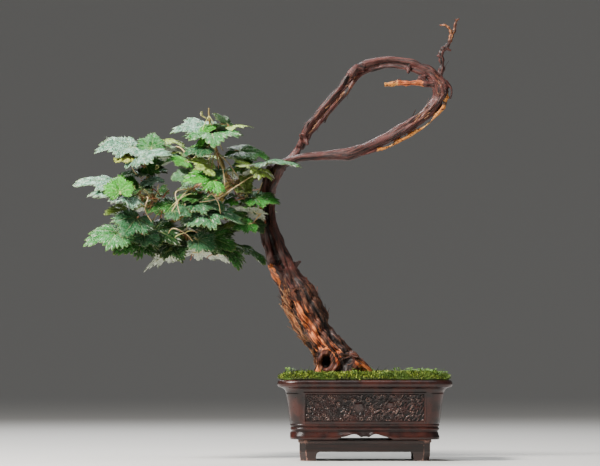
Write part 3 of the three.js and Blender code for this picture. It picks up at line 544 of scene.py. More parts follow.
def leaf_motif(x, z, size, turn):
    """A long slanting leaf with a groove along its middle and cut edges."""
    slant = 0.85 + 0.3 * turn
    along = x * math.cos(slant) + z * math.sin(slant)
    across = -x * math.sin(slant) + z * math.cos(slant)
    width = 0.3 * size * np.clip(1 - (along / (1.2 * size)) ** 2, 0.001, 1)
    width = width * (1 + 0.2 * np.sin(7 * along / size))
    share = np.abs(across) / width
    return smooth_step(share, 1.0, 0.7) * (0.4 + 0.6 * smooth_step(share, 0.0, 0.35))


def rock_motif(x, z, size, turn):
    """A bare faceted rock."""
    facets = [x * math.cos(turn + k * 1.3) + z * 1.15 * math.sin(turn + k * 1.3) for k in range(5)]
    return np.clip(1.5 - np.max(facets, axis=0) / (0.72 * size), 0, 0.62)


def relief_height(x, z, half, draw):
    """The relief's height over its ground, from 0 to 1."""
    height = np.zeros_like(x)
    columns, rows = round(2 * half / RELIEF_CELL), round((FIELD_HIGH - FIELD_LOW) / RELIEF_CELL)
    for i in range(columns):
        for j in range(rows):
            share = (i + 0.5) / columns
            centre_x = half * (2 * share - 1) + draw.uniform(-1.6, 1.6) + (j % 2 - 0.5) * 0.5 * RELIEF_CELL
            centre_z = FIELD_LOW + (j + 0.5) * RELIEF_CELL * 0.99 + draw.uniform(-1.3, 1.3)
            size = draw.uniform(*MOTIF_SIZES)
            turn, pick = draw.choice([-1.0, -0.3, 0.4, 1.0]), draw.uniform()
            if pick < 0.9 - 0.9 * share:
                motif = scroll_motif
            elif pick < 1.15 - 0.75 * share:
                motif = blossom_motif
            else:
                motif = leaf_motif
            stamped = motif(x - centre_x, z - centre_z, size, turn) * draw.uniform(0.55, 1.0)
            height = np.maximum(height, stamped)
    for share, level, size in ROCKS:
        centre_x = half * (2 * share - 1)
        centre_z = FIELD_LOW + level * (FIELD_HIGH - FIELD_LOW)
        rock = rock_motif(x - centre_x, z - centre_z, size, share * 9)
        height = np.where(rock > 0.02, np.maximum(rock, 0.25 * height), height)
    return height


def add_relief(name, field_half, quarter, seed):
    """One panel: a fine sheet over the field, closed behind inside the wall."""
    half_out = POT_HALF_DEPTH if quarter % 2 == 0 else POT_HALF_LENGTH
    columns = round(2 * field_half / RELIEF_STEP)
    rows = round((FIELD_HIGH - FIELD_LOW) / RELIEF_STEP)
    places = np.linspace(-field_half, field_half, columns)
    along, z = np.meshgrid(places, np.linspace(FIELD_LOW, FIELD_HIGH, rows), indexing="ij")
    height = relief_height(along, z, field_half, np.random.default_rng(seed))
    edge = np.minimum(field_half - np.abs(along), np.minimum(z - FIELD_LOW, FIELD_HIGH - z))
    height *= smooth_step(edge, 0.3, 1.3)
    ground = half_out - np.interp(z, *zip(*WALL)) - PANEL_SINK
    out = ground + 0.1 + RELIEF_RISE * height
    sheets = []
    for reach in (out, ground - 1.2):
        x, y = round_the_pot(along, reach, quarter)
        sheets.append(np.stack([x, y, z], axis=2).reshape(-1, 3))
    front = np.arange(columns * rows).reshape(columns, rows)
    quads = np.stack([front[:-1, :-1], front[1:, :-1], front[1:, 1:], front[:-1, 1:]], axis=2)
    quads = quads.reshape(-1, 4)
    rim = np.concatenate([front[:-1, 0], front[-1, :-1], front[:0:-1, -1], front[0, :0:-1]])
    back = columns * rows + np.arange(len(rim))
    points = np.concatenate([sheets[0], sheets[1][rim]])
    faces = quads.tolist()
    for k in range(len(rim)):
        following = (k + 1) % len(rim)
        faces.append((int(rim[following]), int(rim[k]), int(back[k]), int(back[following])))
    faces.append([int(k) for k in back[::-1]])
    values = {"high": np.concatenate([0.05 + 0.95 * height.ravel(), np.zeros(len(rim))])}
    add_piece(name, "pot", new_mesh(name, points, faces, values), [STONEWARE])


for quarter, side_name in enumerate(("front", "right", "rear", "left")):
    field_half = FIELD_HALF if quarter % 2 == 0 else FIELD_HALF_SIDE
    add_relief(f"pot_relief_{side_name}", field_half, quarter, seed=RELIEF_SEED + quarter)


# Drain screens and soil. Two squares of plastic mesh keep the granular soil in over the pot's drain
# holes, and the soil holds the roots. Moss covers it, so both keep the solids' own shapes.


def make_screen_plastic():
    material, tree, shader, place = new_material("screen_mesh", 0.6)
    spots = placed_group(tree, MOTTLE, {"Place": place, "Size": 0.006})
    colour = blend(tree, spots["Broad"], srgb(26, 28, 26), srgb(52, 54, 50))
    wire(tree, shader, Base_Color=colour, Normal=bumped(tree, spots["Fine"], 0.0002))
    return material


def make_soil_grains():
    material, tree, shader, place = new_material("soil_grains", 0.95)
    grains = node(tree, "ShaderNodeTexVoronoi", {"Vector": place, "Scale": 320.0, "Randomness": 1.0})
    spots = placed_group(tree, MOTTLE, {"Place": place, "Size": 0.012})
    # Each grain is palest at its middle and darkest in the gaps between grains: painted shade between the
    # grains.
    colour = blend(tree, grains.outputs["Distance"], srgb(112, 78, 52), srgb(42, 28, 20))
    colour = blend(tree, step_up(tree, spots["Broad"], 0.45, 0.7), colour, srgb(70, 46, 30))
    height = minus(tree, 1.0, grains.outputs["Distance"])
    wire(tree, shader, Base_Color=colour, Normal=bumped(tree, height, 0.0012))
    return material


SCREEN_MESH = make_screen_plastic()
SOIL_GRAINS = make_soil_grains()
for cad_node, material in (
    ("drain_screen_left", SCREEN_MESH), ("drain_screen_right", SCREEN_MESH), ("soil", SOIL_GRAINS),
):
    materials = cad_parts[cad_node].data.materials
    materials.clear()
    materials.append(material)


# Moss. Low green moss pressed onto the soil from rim to rim, in cushions that have swollen above the
# rim. Short leafy stems stand all over it, and longer tips between them.

MOSS_LOW = 125.3
MOSS_TOP = 7.2
MOSS_HALF_LENGTH, MOSS_HALF_DEPTH, MOSS_CORNER = 130.0, 90.0, 27.0
MOSS_STEP = 3.4
MOSS_FOOT = 1.6
MOSS_SHARES = [1.0, 0.995, 0.985, 0.97, 0.95, *np.linspace(0.925, 0.05, 34)]


def rounded_outline(half_x, half_y, corner, step):
    """A rounded rectangle's outline, anticlockwise, with even steps."""
    outline = []
    for quarter in range(4):
        half_along, half_out = ((half_x, half_y), (half_y, half_x))[quarter % 2]
        straight = half_along - corner
        count = round(2 * straight / step)
        local = [(straight * (2 * k / count - 1), half_out) for k in range(count)]
        bends = round(corner * math.pi / 2 / step)
        for k in range(bends):
            angle = k / bends * math.pi / 2
            out = half_out - corner + corner * math.cos(angle)
            local.append((straight + corner * math.sin(angle), out))
        outline += [round_the_pot(along, out, quarter) for along, out in local]
    return np.array(outline)


def moss_height(x, y, share):
    """The cushion's height over the soil: broad humps, small cushions and a round edge."""
    humps = 1.1 * math.sin(0.09 * x + 0.4) * math.cos(0.11 * y) + 0.8 * math.sin(0.21 * x - 0.17 * y)
    cushions = 1.5 * noise.noise((x / 7.5, y / 7.5, 3.0)) + 0.8 * noise.noise((x / 3.0, y / 3.0, 9.0))
    edge = min(1.0, (1 - share) / 0.16) ** 0.6
    return (MOSS_TOP - MOSS_FOOT + 0.7 * humps + cushions) * edge


def make_moss_material():
    material, tree, shader, place = new_material("moss_green", 0.7, Specular_IOR_Level=0.35)
    spots = placed_group(tree, MOTTLE, {"Place": place, "Size": 0.028})
    tint = attribute(tree, "tint")
    leafy = blend(tree, step_up(tree, tint, 0.0, 0.7), srgb(22, 30, 8), srgb(112, 132, 32))
    leafy = blend(tree, step_up(tree, tint, 0.75, 1.0), leafy, srgb(196, 204, 84))
    leafy = blend(tree, step_up(tree, spots["Broad"], 0.42, 0.64), leafy, srgb(72, 96, 26))
    brownish = blend(tree, step_up(tree, spots["Fine"], 0.62, 0.75), leafy, srgb(104, 88, 40))
    wire(tree, shader, Base_Color=brownish, Normal=bumped(tree, spots["Fine"], 0.0006))
    return material


def make_herb_material():
    material, tree, shader, place = new_material("herb_green", 0.6, Specular_IOR_Level=0.35)
    spots = placed_group(tree, MOTTLE, {"Place": place, "Size": 0.004})
    tint = attribute(tree, "tint")
    green = blend(tree, tint, srgb(28, 62, 12), srgb(112, 150, 34))
    colour = blend(tree, step_up(tree, spots["Broad"], 0.5, 0.7), green, srgb(62, 104, 32))
    wire(tree, shader, Base_Color=colour)
    return material


def make_scatter(name, bend, resolution, aligned):
    """Strews tapered blades over a surface. Sizes are in metres, the density is per square metre. bend is
    the blade's curve at length 1. Aligned blades lie along the ahead value, the densest where shag is 1."""
    inputs = [
        ("Geometry", "Geometry", None), ("Density", "Float", 700000.0), ("Length", "Float", 0.0032),
        ("Width", "Float", 0.0008), ("Seed", "Int", 4), ("Material", "Material", None),
    ]
    tree, given, result = new_group(name, "GeometryNodeTree", inputs, [("Geometry", "Geometry")])
    start, middle, end = bend
    line = node(
        tree, "GeometryNodeCurveQuadraticBezier",
        {"Resolution": resolution, "Start": start, "Middle": middle, "End": end},
    )
    along = node(tree, "GeometryNodeSplineParameter").outputs["Factor"]
    taper = node(tree, "ShaderNodeMapRange", {"Value": along, "To Min": 1.0, "To Max": 0.14})
    tapered = node(
        tree, "GeometryNodeSetCurveRadius", {"Curve": line.outputs[0], "Radius": taper.outputs[0]}
    )
    width = maths(tree, "DIVIDE", given["Width"], given["Length"])
    left = node(tree, "ShaderNodeCombineXYZ", {"X": times(tree, width, -0.5)}).outputs[0]
    right = node(tree, "ShaderNodeCombineXYZ", {"X": times(tree, width, 0.5)}).outputs[0]
    across = node(tree, "GeometryNodeCurvePrimitiveLine", {"Start": left, "End": right})
    blade = node(
        tree, "GeometryNodeCurveToMesh", {"Curve": tapered.outputs[0], "Profile Curve": across.outputs[0]}
    )
    density = given["Density"]
    if aligned:
        shag = node(tree, "GeometryNodeInputNamedAttribute", {"Name": "shag"}, data_type="FLOAT")
        density = times(tree, shag.outputs[0], density)
    spots = node(
        tree, "GeometryNodeDistributePointsOnFaces",
        {"Mesh": given["Geometry"], "Density": density, "Seed": given["Seed"]},
    )
    turned = spots.outputs["Rotation"]
    least, most = (-0.5, -0.5, 0.0), (0.5, 0.5, 6.283)
    if aligned:
        least, most = (-0.12, -0.12, -0.25), (0.12, 0.12, 0.25)
        ahead = node(
            tree, "GeometryNodeInputNamedAttribute", {"Name": "ahead"}, data_type="FLOAT_VECTOR"
        ).outputs[0]
        turned = node(
            tree, "FunctionNodeAlignRotationToVector", {"Rotation": turned, "Vector": ahead},
            axis="X", pivot_axis="Z",
        ).outputs[0]
    lean = node(
        tree, "FunctionNodeRandomValue", {0: least, 1: most, "Seed": given["Seed"]},
        data_type="FLOAT_VECTOR",
    )
    leaned = node(tree, "FunctionNodeEulerToRotation", {"Euler": lean.outputs[0]}).outputs[0]
    turned = node(
        tree, "FunctionNodeRotateRotation", {"Rotation": turned, "Rotate By": leaned},
        rotation_space="LOCAL",
    ).outputs[0]
    size = node(
        tree, "FunctionNodeRandomValue", {2: 0.55, 3: 1.3, "Seed": given["Seed"]}, data_type="FLOAT"
    )
    scale = times(tree, size.outputs[1], given["Length"])
    placing = {"Instance": blade.outputs[0], "Scale": scale, "Rotation": turned}
    strewn = node(
        tree, "GeometryNodeInstanceOnPoints", {"Points": spots.outputs["Points"], **placing}
    )
    tint = node(tree, "FunctionNodeRandomValue", {2: 0.0, 3: 1.0, "Seed": 11}, data_type="FLOAT")
    stored = node(
        tree, "GeometryNodeStoreNamedAttribute",
        {"Geometry": strewn.outputs[0], "Name": "tint", "Value": tint.outputs[1]},
        data_type="FLOAT", domain="INSTANCE",
    )
    real = node(tree, "GeometryNodeRealizeInstances", {"Geometry": stored.outputs[0]})
    painted = node(
        tree, "GeometryNodeSetMaterial", {"Geometry": real.outputs[0], "Material": given["Material"]}
    )
    tree.links.new(painted.outputs[0], result["Geometry"])
    return tree


def grown(mesh, group, values):
    """The plain mesh that a geometry group makes from a mesh. values are its inputs by name."""
    work = linked("work", mesh)
    modifier = work.modifiers.new("grow", "NODES")
    modifier.node_group = group
    for item in group.interface.items_tree:
        if item.item_type == "SOCKET" and item.in_out == "INPUT" and item.name in values:
            modifier[item.identifier] = values[item.name]
    return taken_mesh(work)


moss_outline = rounded_outline(MOSS_HALF_LENGTH, MOSS_HALF_DEPTH, MOSS_CORNER, MOSS_STEP)
moss_rings = [[(x, y, MOSS_LOW) for x, y in moss_outline]]
for share in MOSS_SHARES:
    shrunk = moss_outline * share
    moss_rings.append([(x, y, MOSS_LOW + MOSS_FOOT + moss_height(x, y, share)) for x, y in shrunk])
moss_points, moss_faces = skin(moss_rings)
moss_mesh = new_mesh("moss_cushion", moss_points, moss_faces)
set_values(moss_mesh, {"tint": np.full(len(moss_mesh.vertices), 0.12)})
MOSS_GREEN = make_moss_material()
BLADE_SCATTER = make_scatter("blade_scatter", ((0, 0, -0.1), (0.05, 0, 0.6), (0.45, 0, 1.0)), 2, False)
STRIP_SCATTER = make_scatter("strip_scatter", ((0, 0, -0.04), (0.5, 0, 0.0), (1.0, 0, 0.22)), 5, True)
side_count = len(moss_outline)
moss_top_faces = [face for face in moss_faces if min(face) >= side_count and len(face) == 4]
moss_top = new_mesh("moss_top", moss_points, moss_top_faces)
add_piece("moss_cushion", "moss", moss_mesh, [MOSS_GREEN])
for name, density, length, width, seed in (
    ("moss_blades", 560000.0, 0.0032, 0.00085, 4), ("moss_tips", 90000.0, 0.0055, 0.001, 9),
):
    values = {"Density": density, "Length": length, "Width": width, "Seed": seed, "Material": MOSS_GREEN}
    strewn = grown(moss_top, BLADE_SCATTER, values)
    strewn.materials.clear()
    add_piece(name, "moss", strewn, [MOSS_GREEN])


# Grass and herbs. Tufts of fine grass and patches of small three-leaved herbs have come up through the
# moss by themselves: grass here and there along the pot's edge, herbs mostly at its right end.

# Each tuft's and patch's x, y and count
GRASS_TUFTS = [
    (-119, -60, 9), (-112, -30, 7), (-98, -70, 6), (-84, -52, 7), (-14, -58, 6), (16, -44, 8), (22, -66, 6),
    (44, -70, 5), (58, -30, 6), (112, -62, 6), (-118, 34, 7), (-60, 70, 7), (30, 66, 7), (96, 60, 6),
    (120, 20, 5),
]
HERB_PATCHES = [
    (100, -62, 9), (84, -52, 6), (112, -34, 5), (68, -62, 4), (-106, 62, 5), (60, 70, 5), (104, 40, 4),
    (-118, -66, 2), (-22, -62, 2),
]
# Widths along a blade of grass and along a leaflet, as shares
GRASS_SHAPE = (1, 1, 0.85, 0.65, 0.4, 0.08)
HERB_SHAPE = (0.1, 0.7, 1, 0.85, 0.35)
HERB_SEED = 77
GRASS_LENGTHS, GRASS_WIDTH = (12, 22), 1.1
HERB_HEIGHTS, STALK_WIDTH = (6, 13), 0.5
LEAFLET_LENGTHS, LEAFLET_WIDTH = (3.4, 5.8), 0.58


def leaflet(place, heading, up, length, width, bend, shares):
    """A thin leaf as a strip: its width at even steps is given in shares, and it bends down."""
    side = np.cross(heading, up)
    points = []
    for k, share in enumerate(shares):
        t = k / (len(shares) - 1)
        middle = place + heading * length * t + up * (0.25 * length * t - bend * length * t * t)
        points += [middle - side * width * share / 2, middle + side * width * share / 2]
    faces = [(2 * k, 2 * k + 1, 2 * k + 3, 2 * k + 2) for k in range(len(shares) - 1)]
    return points, faces


def stem_strip(base, top, width):
    side = np.array([width / 2, 0, 0])
    return [base - side, base + side, top - side, top + side], [(0, 1, 3, 2)]


def grass_blade(x, y, draw):
    """One blade of a tuft: its points, its faces and its tint."""
    away = draw.uniform(0, 2 * math.pi)
    lean = draw.uniform(0.15, 0.8)
    heading = np.array([math.cos(away) * lean, math.sin(away) * lean, 1.0])
    heading /= np.linalg.norm(heading)
    base = np.array([x + draw.normal() * 2.2, y + draw.normal() * 2.2, MOSS_LOW + 4])
    up = np.array([-math.cos(away), -math.sin(away), 0.4])
    length = draw.uniform(*GRASS_LENGTHS)
    blade_skin = leaflet(base, heading, up, length, GRASS_WIDTH, 0.5, GRASS_SHAPE)
    return *blade_skin, draw.uniform(0.3, 1)


def herb_parts(x, y, draw):
    """One herb: a stalk with three leaflets, each with its points, its faces and its tint."""
    base = np.array([x + draw.normal() * 7, y + draw.normal() * 7, MOSS_LOW + 5])
    top = base + np.array([draw.normal() * 2.2, draw.normal() * 2.2, draw.uniform(*HERB_HEIGHTS)])
    parts = [(*stem_strip(base, top, STALK_WIDTH), 0.6)]
    tint = draw.uniform(0.2, 1)
    for k in range(3):
        turn = 2.1 * k + draw.uniform(0, 1)
        heading = np.array([math.cos(turn), math.sin(turn), draw.uniform(-0.1, 0.5)])
        up = np.array([0.1, -0.35, 1.0])
        length = draw.uniform(*LEAFLET_LENGTHS)
        parts.append((*leaflet(top, heading, up, length, LEAFLET_WIDTH * length, 0.25, HERB_SHAPE), tint))
    return parts


def joined_skins(skins):
    """The points and faces of many skins as one."""
    points, faces = [], []
    for more_points, more_faces in skins:
        start = len(points)
        points.extend(more_points)
        faces.extend([start + k for k in face] for face in more_faces)
    return points, faces


herb_draw = np.random.default_rng(HERB_SEED)
green_parts = [grass_blade(x, y, herb_draw) for x, y, count in GRASS_TUFTS for _ in range(count)]
for x, y, count in HERB_PATCHES:
    for _ in range(count):
        green_parts += herb_parts(x, y, herb_draw)
herb_tints = [tint for points, _, tint in green_parts for _ in points]
herb_skin = joined_skins((points, faces) for points, faces, _ in green_parts)
herb_mesh = new_mesh("grass_and_herbs", *herb_skin, {"tint": herb_tints})
add_piece("grass_and_herbs", "moss", herb_mesh, [make_herb_material()])


# Vine wood. The living trunk with its roots, two twisted leaders, the loop with its dead stub and
# twig, and the old canes in the crown grew as one. Stringy bark peels off it, and bare wood shows in
# long wounds. It stands in the soil, and its knot hole faces the front.

BARK_VOXEL = 1.38

# Routes as rows of [x, y, z, radius] in millimetres from the pot's middle
TRUNK = [
    (-33, 2, 86, 26), (-33, 2, 112, 34), (-38, 1, 136, 38), (-43, 0, 150, 34), (-52, 0, 164, 29),
    (-63, 0, 181, 26.5), (-74, 0, 199, 25.5), (-84, 0, 218, 27.5), (-95, 0, 239, 28.5),
    (-104, 0, 260, 26), (-116, 1, 281, 21), (-125, 2, 304, 19),
]
STRAND_LEFT = [
    (-118, 4, 268, 12), (-134, 4, 289, 10.5), (-144, 3, 309, 8.5), (-149, 0, 328, 8), (-155, -3, 359, 7),
    (-159, -1, 390, 6), (-157, 4, 421, 6), (-151, 6, 445, 7), (-143, 2, 457, 7),
]
STRAND_RIGHT = [
    (-106, -2, 270, 14), (-115, -3, 290, 13), (-123, -4, 309, 11.5), (-130, -4, 326, 10),
    (-136, -3, 348, 9), (-144, 0, 370, 8), (-147, 3, 391, 7.5), (-147, 3, 407, 6.5), (-144, 0, 421, 7),
    (-136, -4, 446, 8.5), (-130, -6, 458, 8),
]
LOOP = [
    (-136, -4, 450, 8.5), (-128, -7, 460, 7.5), (-110, -10, 468, 6.6), (-92, -12, 472, 6.2),
    (-53, -14, 474, 7.4), (-24, -14, 476, 9.6), (-8, -12, 481, 9.4), (15, -8, 491, 9.2),
    (40, -4, 503, 9.8), (65, 0, 518, 10.8), (86, 4, 532, 10.2), (104, 6, 549, 9.8),
    (116, 6, 564, 10.5), (121, 5, 579, 13.4), (114, 4, 596, 11.2), (95, 6, 610, 9.2),
    (70, 10, 618, 8.2), (40, 14, 622, 7.8), (15, 16, 618, 8), (-9, 16, 609, 8.6),
    (-22, 14, 595, 8.8), (-35, 12, 576, 9.2), (-54, 12, 554, 9.6), (-70, 13, 536, 9),
    (-84, 15, 519, 8.4), (-94, 17, 502, 8), (-101, 18, 489, 7.4), (-110, 18, 475, 7),
    (-126, 18, 464, 6.6), (-146, 18, 453, 6.2), (-167, 16, 443, 5.6), (-195, 12, 437, 5),
]
CANES = [
    [
        (-188, 14, 438, 5.2), (-217, 8, 421, 4.8), (-244, 0, 401, 4.4), (-272, -5, 384, 3.9),
        (-300, 0, 371, 3.2),
    ],
    [
        (-205, 10, 430, 4.6), (-224, 12, 404, 4), (-241, 14, 372, 3.8), (-250, 8, 352, 3.4),
        (-263, 0, 338, 3),
    ],
    [(-208, 10, 428, 4), (-215, -2, 444, 3.4), (-221, -14, 462, 3), (-230, -25, 481, 2.6)],
    [(-190, 13, 438, 4.4), (-210, 42, 436, 3.8), (-232, 68, 424, 3.3), (-256, 90, 408, 2.8)],
]
TWIG = [
    (117, 4, 598, 5.4), (122, 3, 612, 4.6), (122, 2, 625, 4), (121, 1, 636, 3.8), (124, 0, 642, 4),
    (131, 0, 648, 3.4), (135, -1, 655, 3.4), (137, -1, 662, 3.6), (141, 0, 670, 2.8), (143, 1, 681, 2.4),
    (144, 1, 690, 1.8),
]
TWIG_FORK = [
    (137, -1, 660, 3), (135.5, -2, 670, 2.6), (132, -3, 676, 2.4), (126, -4, 679.5, 2.2),
    (118.5, -4, 679, 1.7),
]
STUB = [
    (108, 2, 588, 6), (96, 0, 588, 4.8), (80, -2, 589, 4), (66, -3, 588, 3.9), (54, -4, 589, 4.4),
    (44, -5, 587, 3.8), (32, -6, 586, 3.4),
]
SNAGS = [
    [(122, 1, 630, 3.2), (118, 0, 631, 2.4), (114, 0, 632, 1.6)],
    [(127, 0, 644, 3), (132, 0, 642, 2.2), (137, 0, 640, 1.5)],
    [(144, 1, 684, 1.8), (147, 1, 688, 1.4), (150, 1, 690.5, 1.1)],
    [(70, 8, 614, 5), (70, 3, 608, 3.4), (69, 1, 604, 1.8)],
    [(127, 2, 590, 4.5), (135, 0, 584, 2.6), (137.5, 0, 575, 2.2), (135, 1, 564, 1.8)],
    [(96, 2, 596, 5), (90, 0, 596, 4), (85, -1, 597, 3)],
    [(54, -4, 589, 3.4), (55, -4, 592, 3), (55, -5, 595, 1.8)],
    [(-114, 0, 299, 9.5), (-107, 0, 304, 5.4), (-101, -1, 309, 2.6), (-98, -1, 309, 1.4)],
    [(-132, -4, 292, 9), (-139, -9, 298, 7.2), (-144, -14, 303, 5.6)],
    [(-94, 13, 503, 5.5), (-98, 9, 506, 3.6), (-100, 7, 510, 2)],
    [(-92, 12, 500, 5), (-89, 8, 496, 3.4), (-88, 6, 492, 2.2)],
    [(1, 13, 613, 5.5), (-9, 12, 615, 6.2), (-16, 11, 608, 6), (-19, 10, 599, 4)],
    [(-26, -9, 160, 8), (-19, -12, 162, 8.6), (-12, -12, 157, 7)],
]
ROOTS = [
    [
        (-50, -4, 188, 12.5), (-35, -5, 168, 11), (-19, -5, 154, 10), (-5, -4, 145, 9.5),
        (7, -2, 134, 8.5), (14, 0, 112, 7),
    ],
    [(-58, -14, 150, 12), (-66, -22, 136, 11), (-72, -26, 118, 8)],
    [(-44, 20, 168, 13), (-50, 32, 146, 12), (-58, 40, 128, 10), (-62, 44, 112, 7)],
    [(-26, 16, 160, 12), (-14, 28, 142, 11), (-8, 36, 124, 8)],
]
KNOT_X, KNOT_Y, KNOT_Z = -59.5, -29.0, 153.0
KNOT_HALF_WIDTH, KNOT_HALF_HEIGHT, KNOT_RING, KNOT_DEPTH = 11.0, 13.6, 3.9, 14.0
# How far the hole's edge lies inside the middle of the ring round it
KNOT_INSET = 2.6

# Old wood at the bottom of the groove between the two leaders
GROOVE_WEB = [(-126, 3, 280, 10), (-133, 3, 300, 7.5), (-139, 2, 322, 5.5), (-145, 1, 345, 4)]

# The dead lip under the loop's lower arc and the two leaders that part at its upper left follow these
# stretches of the loop, counted in its rows
LIP_STRETCH = slice(6, 14)
LEADER_STRETCH = slice(14, 27)
SET_OFF_STEPS = 70
# Where along the loop its core thins for them: rows, and shares of the radius there
CORE_ROWS, CORE_SHARES = [5, 7, 13, 16, 24, 27], [0.95, 0.8, 0.8, 0.3, 0.28, 0.8]


def along_rows(rows, steps):
    """A smooth route of steps + 1 rows through given rows of numbers."""
    rows = np.asarray(rows, float)
    spans = len(rows) - 1
    place = np.linspace(0, spans, steps + 1)
    span = np.minimum(place.astype(int), spans - 1)
    t = (place - span)[:, None]
    a, b, c, d = (rows[np.clip(span + k, 0, spans)] for k in (-1, 0, 1, 2))
    return b + 0.5 * t * (c - a + t * (2 * a - 5 * b + 4 * c - d + t * (3 * b - a - 3 * c + d)))


def route_frames(places):
    """The directions ahead, across and beside a route at each of its places."""
    ahead = np.gradient(places, axis=0)
    ahead /= np.linalg.norm(ahead, axis=1)[:, None]
    across = np.zeros_like(places)
    last = np.array([0.0, -1.0, 0.0]) if abs(ahead[0, 1]) < 0.9 else np.array([0.0, 0.0, 1.0])
    for i, direction in enumerate(ahead):
        last = last - direction * last.dot(direction)
        last /= np.linalg.norm(last)
        across[i] = last
    return ahead, across, np.cross(ahead, across)


def tube_rings(rows, steps, sides, flat=1.0, knuckle=0.0):
    """Rings of a tube that follows rows of [x, y, z, radius]. knuckle swells it at each row."""
    stations = along_rows(rows, steps)
    row_place = np.linspace(0, len(rows) - 1, steps + 1)
    places, radii = stations[:, :3], stations[:, 3] * (1 + knuckle * np.cos(2 * math.pi * row_place))
    _, across, beside = route_frames(places)
    turns = np.linspace(0, 2 * math.pi, sides, endpoint=False)
    around = across[:, None] * np.cos(turns)[None, :, None] * flat
    around = around + beside[:, None] * np.sin(turns)[None, :, None]
    return (places[:, None] + around * radii[:, None, None]).tolist()


def twined(rows, steps, offset, thickness, phase, turns, unevenness, seed):
    """Rows of a strand that winds round a route. offset and thickness are shares of its radius."""
    stations = along_rows(rows, steps)
    _, across, beside = route_frames(stations[:, :3])
    wave = [noise.noise((i * 9.0 / steps, seed, 0.5)) for i in range(steps + 1)]
    angle = phase + turns * 2 * math.pi * np.linspace(0, 1, steps + 1) + 1.2 * np.array(wave)
    reach = stations[:, 3] * offset * (1 + unevenness * np.array(wave[::-1]))
    shift = (across * np.cos(angle)[:, None] + beside * np.sin(angle)[:, None]) * reach[:, None]
    swell = np.array([noise.noise((i * 14.0 / steps, seed, 7.5)) for i in range(steps + 1)])
    radius = stations[:, 3] * thickness * (1 + unevenness * swell)
    return np.column_stack([stations[:, :3] + shift, radius])


def thinned(rows, share):
    return [(x, y, z, radius * share) for x, y, z, radius in rows]


def set_off(rows, shifts, radii, forward, seed):
    """Rows that follow a route, moved off it outwards in the plane seen from the front, and swaying.
    shifts and radii are their values at even steps along it."""
    stations = along_rows(rows, SET_OFF_STEPS)
    ahead = route_frames(stations[:, :3])[0]
    outward = np.column_stack([ahead[:, 2], np.zeros(len(ahead)), -ahead[:, 0]])
    t = np.linspace(0, 1, SET_OFF_STEPS + 1)
    sway = np.array([noise.noise((9 * step, seed, 1.5)) for step in t])
    swell = np.array([noise.noise((17 * step, seed, 4.5)) for step in t])
    shift = np.interp(t, np.linspace(0, 1, len(shifts)), shifts) + 2.0 * sway
    radius = np.interp(t, np.linspace(0, 1, len(radii)), radii) * (1 + 0.45 * swell)
    places = stations[:, :3] + outward * shift[:, None] + np.array([0, -forward, 0]) + 1.2 * swell[:, None]
    return np.column_stack([places, radius])


under_loop, left_of_loop = LOOP[LIP_STRETCH], LOOP[LEADER_STRETCH]
dead_lip = set_off(under_loop, (7, 11.5, 13, 13.6, 13, 9), (1.2, 1.9, 2.4, 1.7, 2.6, 1.8), 4, 3.3)
lip_thread = set_off(under_loop, (8, 10, 15, 14.5, 15.5, 11), (0.9, 1.3, 1.0, 1.5, 1.1, 1.4), 5, 14.9)
outer_leader = set_off(left_of_loop, (4, 5.6, 6.2, 6.0, 5.4, 2), (5.6, 4.6, 4.4, 4.7, 5.0, 5), 2, 6.1)
inner_leader = set_off(
    left_of_loop, (-4, -5.6, -6.4, -6.6, -5.4, -2), (5, 3.9, 3.3, 3.7, 4.2, 4.6), -1, 8.7
)
slender_core = [
    (x, y, z, radius * float(np.interp(i, CORE_ROWS, CORE_SHARES)))
    for i, (x, y, z, radius) in enumerate(LOOP)
]
# Each part is its rows, its rings, its sides and, where it has them, its flatness and its knuckles
wood_parts = [
    (thinned(TRUNK, 0.88), 60, 40, 0.86),
    (thinned(STRAND_LEFT, 0.8), 60, 20), (thinned(STRAND_RIGHT, 0.86), 60, 20),
    (slender_core, 300, 20), (TWIG, 60, 12, 1, 0.22), (TWIG_FORK, 30, 10, 1, 0.2), (STUB, 30, 16, 1, 0.12),
    (dead_lip, 140, 10), (lip_thread, 140, 8), (outer_leader, 140, 16), (inner_leader, 140, 14),
]
wood_parts += [(thinned(rows, 0.82), 50, 12, 1, 0.1) for rows in CANES]
wood_parts += [(rows, 8, 10) for rows in SNAGS]
wood_parts += [(rows, 24, 16) for rows in ROOTS]
for k in range(8):
    rope = twined(TRUNK, 80, 0.68, 0.34, k * math.pi / 4, 0.55, 0.35, seed=k + 0.3)
    wood_parts.append((rope, 80, 14))
for k in range(3):
    wood_parts.append((twined(STRAND_LEFT, 60, 0.5, 0.6, k * 2.1, 0.8, 0.3, seed=k + 20.1), 60, 12))
    wood_parts.append((twined(STRAND_RIGHT, 60, 0.5, 0.58, k * 2.1, 0.9, 0.3, seed=k + 30.1), 60, 12))
for k in range(3):
    wood_parts.append((twined(slender_core, 400, 0.55, 0.62, k * 2.1, 2.6, 0.35, seed=k + 40.7), 400, 14))
